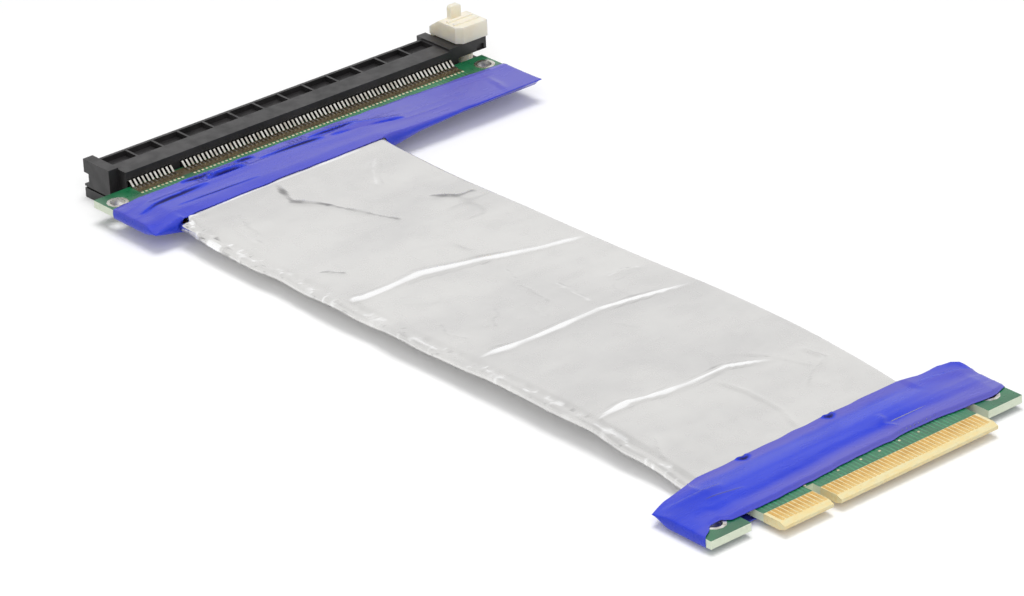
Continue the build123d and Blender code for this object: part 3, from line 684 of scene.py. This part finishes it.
# Tape
JOINTS = "joints"
TAPE_GLOSS = 0.3
TAPE_LIFT = 0.15
TAPE_SKIN = 0.12
TAPE_ROWS = 84
TAPE_STATIONS = 80
TAPE_SPACING = 0.5
TAPE_CORNER = 0.3
TAPE_ABOVE_FLOOR = 0.01
STEEP = 0.3
CABLE_BORDER = 0.7

# Distances from the tape's open edge where it meets the joints and the ribbons, and shows the joints
JOINTS_FROM = (0.1, 0.8)
RIBBONS_FROM = (3.4, 5.2)
FELT_FROM = (0.6, 1.2)
FELT_TO = (4.6, 3.8)

# Distance from the board's end where the tape meets the foil
FOIL_FROM = (-0.4, 1.2)

# Distance from a tight place where the tape is loose again
TIGHT_TO = (2.9, 1.7)


@dataclass
class Wrap:
    """Shape of one piece of tape, as lines of places given by their Y.

    side is 1 where the cable lies at higher X than the board, and -1 where it lies at lower X.
    heights is how far the tape stands off the board's middle over the bare board, the solder joints
    and the ribbons. open_edge and cable_edge give the X of the two edges: the first lies on the
    board, and the second on the foil, or closes the tape beside it, outside the low and high Y of
    cable. rise gives the share of the way from the board's face to the joints', above, and
    rise_under below. seam_over and seam_under give the two heights from the board's middle at the
    closed edge, so that they meet where the tape is pinched. haze gives how much painted sheen of
    reflected light the tape has by its open edge, along its middle and by its cable edge. wrinkles
    have a line of X, Y places, a width, a height and the width of the painted shade on their steep
    side, which lies on the right of the line, or 0 where there is none. tight is where it is pressed
    down on the solder joints. crumple is how strong the fine ripples are, and seed sets their places.
    """

    side: int
    seed: int
    crumple: float
    heights: tuple
    open_edge: tuple
    cable_edge: tuple
    cable: tuple
    rise: tuple
    rise_under: tuple
    seam_over: tuple
    seam_under: tuple
    sheen: tuple
    wrinkles: tuple
    tight: tuple = ()


def line_at(y, points):
    """Value at each Y of a line of (Y, value) places."""
    places, values = zip(*points)
    return np.interp(y, places, values)


def wrinkle_relief(x, y, wrinkles):
    """Height of wrinkles that rise slowly and drop steeply, and the painted shade on their steep side."""
    height, tone = np.zeros(x.shape), np.zeros(x.shape)
    for points, width, rise, dark in wrinkles:
        gap, along = signed_distance(x, y, points)
        fade = np.sin(pi * np.clip(along, 0, 1)) ** 0.5
        gentle = np.exp(-((gap / width) ** 2))
        steep = np.exp(-((gap / STEEP) ** 2))
        height += rise * fade * np.where(gap > 0, gentle, steep)
        if dark > 0:
            tone += fade * np.exp(-(((gap + 0.8 * dark) / dark) ** 2))
    return height, tone


def tape_edges(wrap, ys):
    """X of the tape's open edge and of its cable edge, both slightly ragged."""
    open_x = line_at(ys, wrap.open_edge) + 0.16 * steady_noise(ys / 2.2, ys * 0, wrap.seed)
    open_x += 0.25 * steady_noise(ys / 9, ys * 0, wrap.seed + 1)
    cable_x = line_at(ys, wrap.cable_edge) + 0.15 * steady_noise(ys / 3.5, ys * 0, wrap.seed + 2)
    return open_x, cable_x


def tape_sheen(wrap, y, from_open, from_cable):
    """How much painted sheen of reflected light the tape has, by its distance from either edge."""
    by_open, middle, by_cable = (line_at(y, line) for line in wrap.sheen)
    sheen = middle + (by_open - middle) * (1 - step(from_open, 1.0, 5.0))
    return sheen + (by_cable - sheen) * (1 - step(from_cable, 1.0, 3.5))


def tape_ripples(wrap, x, y, offset):
    """Height of the fine pulls and ripples."""
    seed = wrap.seed + offset
    pull = folds(x / 2.6, y / 24, seed + 3) * step(steady_noise(x / 6, y / 25, seed + 4), 0.0, 0.6)
    ripple = folds(x / 5, y / 6, seed + 5) * step(steady_noise(x / 8, y / 12, seed + 6), 0.0, 0.7)
    return wrap.crumple * (0.16 * pull + 0.1 * ripple)


def joints_felt(wrap, y, from_open):
    """How clearly the solder joints press through the tape, from 0 to 1."""
    tight = 0 * y
    for place in wrap.tight:
        tight = np.maximum(tight, step(np.abs(y - place), *TIGHT_TO))
    return tight * step(from_open, *FELT_FROM) * step(from_open, *FELT_TO)


def tape_levels(wrap, middle, x, y, from_open, on_foil, to_seam, nodes):
    """Heights of the tape's upper and lower face above the board's middle, before any wrinkle."""
    bare, joints, ribbons = wrap.heights
    over_joints = step(from_open, *JOINTS_FROM)
    over_ribbons = step(from_open, *RIBBONS_FROM)
    cabled = bare + (joints - bare) * over_joints + (ribbons - joints) * over_ribbons
    stations = np.linspace(x.min(), x.max(), TAPE_STATIONS)
    cable_middle, cable_half = cable_levels(nodes, stations)
    cable_half = np.maximum(cable_half + FOIL_CLEAR, FOIL_HALF) + TAPE_LIFT
    levels = []
    for up, rise, seam in ((1, wrap.rise, wrap.seam_over), (-1, wrap.rise_under, wrap.seam_under)):
        cover = np.interp(x, stations, cable_middle + up * cable_half) - middle
        stand = up * (bare + (cabled - bare) * line_at(y, rise))
        stand = stand + (cover - stand) * on_foil
        levels.append(stand + (line_at(y, seam) - stand) * to_seam)
    return levels


def tape_sleeve(name, node, board_node, wrap, nodes, material):
    """Tape drawn round a board and its cable."""
    low, high = node_box(node)
    board_low, board_high = node_box(board_node)
    middle = (board_low[2] + board_high[2]) / 2
    side = wrap.side
    board_end = board_high[0] if side > 0 else board_low[0]

    count = int((high[1] - low[1]) / TAPE_SPACING)
    inner = np.linspace(low[1] + TAPE_CORNER, high[1] - TAPE_CORNER, count)
    ys, fullness = section(low[1], high[1], inner, (TAPE_CORNER, 6), (TAPE_CORNER, 6))
    open_x, cable_x = tape_edges(wrap, ys)
    shares = np.linspace(0, 1, TAPE_ROWS)[:, None]
    x = open_x + (cable_x - open_x) * shares
    y = ys + 0 * x
    from_open, from_cable = side * (x - open_x), side * (cable_x - x)
    past_board = side * (x - board_end)

    cable_from, cable_to = wrap.cable
    beside = 1 - step(ys - cable_from, -CABLE_BORDER, 0.0) * step(ys - cable_to, CABLE_BORDER, 0.0)
    closing = np.clip(1 - from_cable / TAPE_CORNER, 0, 1) * beside
    full = fullness * np.sqrt(np.clip(1 - closing**2, 0, 1))
    on_foil = step(past_board, *FOIL_FROM) * (1 - beside)
    to_seam = step(past_board, 0.0, side * (cable_x - board_end)) * beside
    core = to_seam * (line_at(y, wrap.seam_over) + line_at(y, wrap.seam_under)) / 2
    calm = step(from_open, 0.0, 0.9) * (1 - 0.7 * beside * to_seam)
    wrinkled, dark = wrinkle_relief(x, y, wrap.wrinkles)
    sheen = tape_sheen(wrap, y, from_open, from_cable)
    felt = joints_felt(wrap, y, from_open) * (1 - beside)

    over, under = tape_levels(wrap, middle, x, y, from_open, on_foil, to_seam, nodes)
    over = over + calm * (tape_ripples(wrap, x, y, 0) + wrinkled)
    under = under - calm * tape_ripples(wrap, x, y, 30) * 0.3
    sheets, tones, studs = [], [], []
    # Painted shade on the steep side of the upper face's wrinkles, and painted sheen of reflected light on
    # both faces
    dips = (np.clip(dark * calm, 0, 1), 0 * x)
    for stand, dip, rise in zip((over, under), dips, (wrap.rise, wrap.rise_under)):
        z = middle + core + (stand - core) * full
        sheets.append(np.stack([x, y, np.maximum(z, low[2] + TAPE_ABOVE_FLOOR)], axis=-1))
        tones.append(0.5 + 0.5 * (dip - sheen * full * (1 - dip)))
        studs.append(felt * line_at(y, rise))
    rows, columns = x.shape
    faces = grid_faces(rows, columns, 0, side < 0)
    faces += grid_faces(rows, columns, rows * columns, side > 0)
    piece = make_piece(name, np.reshape(sheets, (-1, 3)), faces, material)
    paint_tone(piece, PAINTED_LIGHT, np.array(tones))
    paint_tone(piece, JOINTS, np.array(studs))
    join_seam(piece)
    thicken(piece, TAPE_SKIN)
    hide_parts(node)


def slot_wrap():
    """Tape of the slot board, as the photograph shows it."""
    return Wrap(
        side=1,
        seed=100,
        crumple=0.8,
        heights=(1.05, 1.68, 1.95),
        open_edge=(
            (-49.1, -80.6), (-32.0, -80.9), (-10.0, -81.2), (22.0, -81.2), (40.0, -80.8), (51.9, -79.9),
        ),
        cable_edge=(
            (-49.1, -66.6), (-46.0, -66.5), (-42.4, -66.3), (-38.5, -66.8), (-10.0, -67.5),
            (9.0, -67.5), (12.0, -67.9), (30.0, -67.9), (51.9, -68.0),
        ),
        cable=(-42.2, 9.4),
        rise=(
            (-49.1, 0.0), (-46.0, 0.3), (-43.0, 1.0), (10.0, 1.0), (14.0, 0.75), (24.0, 0.3), (42.0, 0.0),
        ),
        rise_under=((-46.0, 0.0), (-43.0, 1.0), (9.8, 1.0), (12.5, 0.3), (20.0, 0.0)),
        seam_over=(
            (-49.1, 0.1), (-46.5, 1.0), (-42.6, 2.0), (10.2, 1.9), (19.0, 1.45), (30.0, 1.25), (42.0, 1.05),
        ),
        seam_under=(
            (-49.1, -0.18), (-46.5, -0.8), (-42.6, -1.4), (10.2, -1.5), (13.0, -1.2), (19.0, -0.3),
            (30.0, 0.4), (42.0, 0.79),
        ),
        sheen=(
            ((-49.0, 0.7), (-30.0, 0.75), (0.0, 0.85), (20.0, 1.0)),
            ((-49.0, 0.5), (-20.0, 0.6), (0.0, 0.7), (20.0, 1.0)),
            ((-49.0, 0.4), (-20.0, 0.5), (0.0, 0.6), (20.0, 0.8)),
        ),
        wrinkles=(
            (((-74.4, -47.0), (-75.1, -38.6), (-75.5, -29.3)), 1.3, 0.38, 0.55),
            (((-79.9, -33.1), (-79.4, -29.4), (-78.9, -25.6)), 0.8, 0.3, 0.5),
            (((-77.9, -28.0), (-77.9, -23.3), (-77.2, -18.6)), 1.5, 0.7, 0.8),
            (((-79.9, -19.5), (-79.2, -14.7)), 0.7, 0.28, 0.5),
            (((-77.8, -15.0), (-76.9, -4.1), (-76.4, 0.8)), 1.2, 0.4, 0.55),
            (((-78.6, -2.0), (-78.3, 5.0), (-77.6, 11.0)), 0.9, 0.35, 0.45),
            (((-75.9, 2.0), (-76.3, 9.0), (-74.5, 14.0), (-72.7, 19.0)), 1.3, 0.5, 0.6),
            (((-76.9, 44.0), (-72.0, 43.6), (-67.6, 42.3)), 0.9, 0.3, 0.0),
            (((-71.2, -40.0), (-70.6, -20.0)), 1.4, 0.12, 0.2),
        ),
        tight=(-28.0, -19.5, -4.0, 6.0),
    )


def edge_wrap():
    """Tape of the edge board, as the photograph shows it."""
    return Wrap(
        side=-1,
        seed=200,
        crumple=0.35,
        heights=(1.05, 1.68, 1.94),
        open_edge=(
            (-54.1, 95.4), (-52.0, 94.2), (-50.6, 92.6), (-47.8, 92.5), (-46.4, 93.8), (-41.9, 94.0),
            (-29.4, 93.7), (-15.6, 93.0), (-3.6, 92.8), (4.7, 92.9), (13.0, 93.4), (18.0, 93.6),
            (22.3, 92.4),
        ),
        cable_edge=(
            (-54.1, 82.0), (-50.1, 80.6), (-44.5, 80.0), (-41.0, 79.2), (-30.0, 79.1), (-8.5, 78.4),
            (9.0, 78.3), (13.0, 79.2), (18.0, 79.4), (20.5, 80.2), (22.3, 82.6),
        ),
        cable=(-43.6, 9.4),
        rise=((-54.1, 0.0), (-50.0, 0.25), (-43.8, 1.0), (10.0, 1.0), (19.0, 1.0), (22.0, 0.3)),
        rise_under=((-47.0, 0.0), (-43.8, 1.0), (9.8, 1.0), (12.5, 0.3), (16.0, 0.0)),
        seam_over=(
            (-54.1, 0.5), (-48.0, 1.2), (-43.6, 1.8), (10.2, 1.8), (16.0, 1.8), (19.0, 2.0),
            (21.6, 2.35), (22.3, 1.7),
        ),
        seam_under=(
            (-54.1, 0.22), (-48.0, -0.2), (-43.6, -1.0), (10.2, -1.5), (13.0, -0.6), (18.0, 0.2),
            (22.3, 0.6),
        ),
        sheen=(
            ((-54.0, 0.3), (-44.0, 0.5), (-20.0, 0.9), (22.0, 1.0)),
            ((-54.0, 0.1), (-44.0, 0.0), (0.0, 0.1), (14.0, 0.6), (22.0, 0.7)),
            ((-54.0, 0.0), (-44.0, 0.6), (-30.0, 1.0), (10.0, 0.9), (14.0, 0.5), (22.0, 0.3)),
        ),
        wrinkles=(
            (((90.9, -3.0), (88.6, -4.6), (85.6, -2.6)), 0.8, 0.35, 0.4),
            (((78.7, -31.6), (79.7, -30.2), (79.1, -28.6)), 0.5, 0.3, 0.5),
            (((78.0, -10.0), (79.1, -8.8), (78.3, -7.4)), 0.5, 0.3, 0.5),
            (((84.6, 22.2), (82.9, 17.0), (81.4, 11.5)), 1.4, 0.6, 0.35),
            (((84.4, -40.0), (84.0, -46.0), (82.6, -53.2)), 1.2, 0.25, 0.3),
            (((88.3, -38.0), (86.6, -46.0)), 0.9, 0.15, 0.2),
        ),
    )


def join_seam(piece):
    """Joins points of a piece that lie on each other."""
    work = bmesh.new()
    work.from_mesh(piece.data)
    bmesh.ops.remove_doubles(work, verts=work.verts, dist=0.004 * MM)
    bmesh.ops.recalc_face_normals(work, faces=work.faces)
    work.to_mesh(piece.data)
    work.free()
    piece.data.shade_smooth()


# Small copper and solder details on the boards
SLOT_CONTACTS = 82
EDGE_CONTACTS = 49
KEY_AFTER = 11
KEY_STEP = 2.0
HALF_PAD = 0.3
VIA_X = -83.2
VIA_RADIUS = 0.35
VIA_HEIGHT = 0.12
EDGE_VIA_RADIUS = 0.3
EDGE_VIA_HEIGHT = 0.1
SLOT_TRACE_WIDTH = 0.26
SLOT_TRACE_LEAD = 0.2
SLOT_TRACE_END = 7.4
EDGE_TRACE_WIDTH = 0.34
EDGE_TRACE_LEAD = 0.15
EDGE_TRACE_END = 10.5
EDGE_TRACE_JOG = 0.12
TRACE_HEIGHT = 0.03
MASK_EDGE = 5.3
TONGUE_MARGIN = 1.6

# Vias of the edge board: X from the tongue's tip, and Y
EDGE_VIAS = ((-7.6, -28.9), (-7.5, -20.9), (-7.6, -15.3), (-7.5, -10.8), (-7.8, -5.6), (-7.7, -0.9))


def contact_line(first, count):
    """Y of each contact of a row, with the wider step over the key."""
    return [first + i + (KEY_STEP if i >= KEY_AFTER else 0) for i in range(count)]


def domes(name, places, radius, height, material):
    """Small solder domes, each a low cap of rings on its own ground."""
    turns, rings = 14, 4
    points, faces = [], []
    for x, y, z, up in places:
        start = len(points)
        for ring in range(rings):
            lean = ring / rings * pi / 2
            reach = radius * cos(lean)
            for turn in range(turns):
                angle = 2 * pi * turn / turns
                points.append((x + reach * cos(angle), y + reach * sin(angle), z + up * height * sin(lean)))
        crown = len(points)
        points.append((x, y, z + up * height))
        last = crown - turns
        dome = grid_faces(rings, turns, start, flipped=True, closed=True)
        dome += [(last + turn, last + (turn + 1) % turns, crown) for turn in range(turns)]
        dome.append(tuple(range(start, start + turns))[::-1])
        faces += dome if up > 0 else [face[::-1] for face in dome]
    make_piece(name, points, faces, material)


def traces(name, lines, width, height, material):
    """Low tracks with sloped sides, each from one place to another on a face of a board."""
    points, faces = [], []
    for (ax, ay), (bx, by), z, up in lines:
        run = np.array([bx - ax, by - ay])
        across = np.array([-run[1], run[0]]) / np.hypot(*run)
        start = len(points)
        for px, py in ((ax, ay), (bx, by)):
            for offset, lift in ((0.5, 0), (0.36, 1), (-0.36, 1), (-0.5, 0)):
                corner_x, corner_y = np.array([px, py]) + across * offset * width
                points.append((corner_x, corner_y, z + up * lift * height))
        quads = [(0, 4, 5, 1), (1, 5, 6, 2), (2, 6, 7, 3), (3, 7, 4, 0), (0, 1, 2, 3), (7, 6, 5, 4)]
        for quad in quads:
            face = tuple(start + corner for corner in quad)
            faces.append(face if up < 0 else face[::-1])
    make_piece(name, points, faces, material, smooth_shaded=False)


def board_details(materials):
    """Vias beside the slot's pads, and masked traces behind the fingers."""
    slot_low, slot_high = node_box("slot_board")
    edge_low, edge_high = node_box("edge_board")
    pads_low, _ = node_box("slot_pads_upper")
    first = pads_low[1] + HALF_PAD
    slot_faces = ((slot_high[2], 1), (slot_low[2], -1))
    edge_faces = ((edge_high[2], 1), (edge_low[2], -1))
    slot_line, edge_line = contact_line(first, SLOT_CONTACTS), contact_line(first, EDGE_CONTACTS)
    solder, masked = materials["solder"], materials["mask_trace"]

    places = [(VIA_X, y, z, up) for z, up in slot_faces for y in slot_line]
    domes("slot_board_vias", places, VIA_RADIUS, VIA_HEIGHT, solder)

    tip = edge_high[0]
    lines = []
    for z, up in edge_faces:
        for i, y in enumerate(edge_line):
            start = (tip - MASK_EDGE - EDGE_TRACE_LEAD, y)
            end = (tip - EDGE_TRACE_END, y + (EDGE_TRACE_JOG if i % 2 else -EDGE_TRACE_JOG))
            lines.append((start, end, z, up))
    traces("edge_board_traces", lines, EDGE_TRACE_WIDTH, TRACE_HEIGHT, masked)
    places = [(tip + dx, y, z, up) for z, up in edge_faces for dx, y in EDGE_VIAS]
    domes("edge_board_vias", places, EDGE_VIA_RADIUS, EDGE_VIA_HEIGHT, solder)

    lines = []
    for z, up in slot_faces:
        for y in slot_line:
            lines.append(((VIA_X + SLOT_TRACE_LEAD, y), (slot_low[0] + SLOT_TRACE_END, y), z, up))
    traces("slot_board_traces", lines, SLOT_TRACE_WIDTH, TRACE_HEIGHT, masked)


def paint_nodes(nodes, materials):
    """Gives every solid of the frame its finish."""
    finishes = {
        "slot_housing": "black",
        "retention_latch": "ivory",
        "slot_board": "slot_board",
        "slot_hole_rings": "tin",
        "edge_board": "edge_board",
        "edge_hole_rings": "tin",
    }
    on_both_faces = {
        "slot_contacts": "tin",
        "slot_pads": "pads",
        "slot_wire_ends": "tin",
        "ribbon": "ribbon",
        "edge_wire_ends": "tin",
        "edge_fingers": "gold",
    }
    for name, finish in on_both_faces.items():
        finishes[f"{name}_upper"] = finishes[f"{name}_lower"] = finish
    for name, finish in finishes.items():
        mesh = nodes[name].data
        mesh.materials.clear()
        mesh.materials.append(materials[finish])


def hole_places(rings):
    """Middles of the two ringed holes of a board."""
    low, high = node_box(rings)
    radius = (high[0] - low[0]) / 2
    return [(low[0] + radius, low[1] + radius), (low[0] + radius, high[1] - radius)]


def make_materials():
    """Every finish, by a short name."""
    _, edge_high = node_box("edge_board")
    ribbon_low, _ = node_box("ribbon_upper")
    pads_low, pads_high = node_box("slot_pads_upper")
    pad_window = (pads_low[0], pads_high[0], pads_low[1], pads_high[1])
    fingers_low, fingers_high = node_box("edge_fingers_upper")
    tongue_low, tongue_high = fingers_low[1] - TONGUE_MARGIN, fingers_high[1] + TONGUE_MARGIN
    bare_tongue = (edge_high[0] - MASK_EDGE, tongue_low, tongue_high)
    return {
        "black": moulding("black moulding", BLACK_MOULDING, BLACK_WORN, 0.42),
        "ivory": moulding("ivory moulding", IVORY, IVORY_SHADE, 0.5, glow=0.6),
        "tin": plated("tinned metal", TIN, TIN_DULL, 0.26, 1.2),
        "solder": plated("solder", SOLDER, SOLDER_DULL, 0.4, 0.8),
        # Pads painted brown, as shade under the wire ends
        "pads": plated("shaded pads", PAD_BRIGHT, PAD_BROWN, 0.4, 0.9),
        "gold": gold_fingers("gold plate", fingers_low[0], fingers_high[0]),
        "slot_board": circuit_board("slot board", hole_places("slot_hole_rings"), window=pad_window),
        "edge_board": circuit_board("edge board", hole_places("edge_hole_rings"), bare_tongue),
        "mask_trace": mask_over_copper("masked trace"),
        "ribbon": ribbon_insulation("ribbon insulation", ribbon_low[1], 1.0),
        "foil": foil_finish("aluminium foil"),
        "tape": tape_finish("blue tape", ribbon_low[1] + 0.5),
    }


def make_world():
    """White behind the object, greyer overhead, and plain light from all round."""
    world = bpy.data.worlds.new("studio")
    bpy.context.scene.world = world
    sky = Nodes(world)
    sky.nodes.clear()
    direction = sky.add("ShaderNodeTexCoord").outputs["Generated"]
    height = sky.add("ShaderNodeSeparateXYZ", Vector=direction).outputs["Z"]
    dimming = sky.between(height, OVERHEAD_FROM, OVERHEAD_TO, 1.0, OVERHEAD_LEVEL)
    light = sky.add("ShaderNodeBackground", Color=WHITE, Strength=WORLD_LEVEL)
    white = sky.add("ShaderNodeBackground", Color=WHITE, Strength=dimming)
    choice = sky.add("ShaderNodeMixShader", Fac=sky.seen_directly())
    sky.feed(choice.inputs[1], light.outputs[0])
    sky.feed(choice.inputs[2], white.outputs[0])
    sky.add("ShaderNodeOutputWorld", Surface=choice.outputs[0])


def make_floor():
    """Pale floor that keeps the object's shadow."""
    half = FLOOR_SIZE / 2 * MM
    mesh = bpy.data.meshes.new("floor")
    corners = [(-half, -half, 0), (half, -half, 0), (half, half, 0), (-half, half, 0)]
    mesh.from_pydata(corners, [], [(0, 1, 2, 3)])
    material = bpy.data.materials.new("floor")
    ground = Nodes(material)
    ground.nodes.clear()
    matt = ground.add("ShaderNodeBsdfDiffuse", Color=FLOOR_COLOUR)
    strength = ground.maths("MULTIPLY", ground.seen_directly(), FLOOR_LIFT)
    lift = ground.add("ShaderNodeEmission", Strength=strength)
    total = ground.add("ShaderNodeAddShader")
    ground.feed(total.inputs[0], matt.outputs[0])
    ground.feed(total.inputs[1], lift.outputs[0])
    ground.add("ShaderNodeOutputMaterial", Surface=total.outputs[0])
    mesh.materials.append(material)
    floor = bpy.data.objects.new("floor", mesh)
    floor.location.z = -FLOOR_DROP * MM
    bpy.context.scene.collection.objects.link(floor)


def make_lamp(name, place, size, watts, mirrored=True):
    """Square soft lamp aimed at the middle of the object, mirrored in shiny surfaces or not."""
    data = bpy.data.lights.new(name, "AREA")
    data.size = size * MM
    data.energy = watts
    lamp = bpy.data.objects.new(name, data)
    lamp.location = Vector(place) * MM
    lamp.rotation_euler = (-lamp.location).to_track_quat("-Z", "Y").to_euler()
    lamp.visible_glossy = mirrored
    bpy.context.scene.collection.objects.link(lamp)


def make_camera():
    """Camera at the photograph's viewpoint."""
    yaw, pitch, roll = radians(CAMERA_YAW), radians(CAMERA_PITCH), radians(CAMERA_ROLL)
    ahead = Vector((cos(pitch) * cos(yaw), cos(pitch) * sin(yaw), -sin(pitch)))
    level = Vector((sin(yaw), -cos(yaw), 0))
    upward = level.cross(ahead)
    right = level * cos(roll) + upward * sin(roll)
    top = upward * cos(roll) - level * sin(roll)
    camera = bpy.data.objects.new("camera", bpy.data.cameras.new("camera"))
    turn = Matrix((right, top, -ahead)).transposed().to_4x4()
    camera.matrix_world = Matrix.Translation(Vector(CAMERA_PLACE) * MM) @ turn
    camera.data.sensor_width = SENSOR_WIDTH
    camera.data.lens = CAMERA_LENS
    camera.data.clip_start = CAMERA_NEAR * MM
    camera.data.clip_end = CAMERA_FAR * MM
    bpy.context.scene.collection.objects.link(camera)
    bpy.context.scene.camera = camera


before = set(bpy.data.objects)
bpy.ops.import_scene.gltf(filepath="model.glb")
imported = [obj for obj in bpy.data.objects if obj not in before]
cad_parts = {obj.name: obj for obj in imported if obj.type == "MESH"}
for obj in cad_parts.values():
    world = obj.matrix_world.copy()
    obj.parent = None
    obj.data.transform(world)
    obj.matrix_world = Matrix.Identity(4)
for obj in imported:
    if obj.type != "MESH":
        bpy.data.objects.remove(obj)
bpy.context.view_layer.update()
bpy.context.scene.view_settings.view_transform = "Standard"
make_world()
make_floor()
# Mirrored in the foil, the key lamp would turn it white from above
make_lamp("key", KEY_PLACE, KEY_SIZE, KEY_WATTS, mirrored=False)
make_lamp("fill", FILL_PLACE, FILL_SIZE, FILL_WATTS)
make_camera()

materials = make_materials()
paint_nodes(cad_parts, materials)
foil_sleeve(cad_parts, materials["foil"])
tape_sleeve("slot_tape_wrap", "slot_tape", "slot_board", slot_wrap(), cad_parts, materials["tape"])
tape_sleeve("edge_tape_wrap", "edge_tape", "edge_board", edge_wrap(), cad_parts, materials["tape"])
board_details(materials)
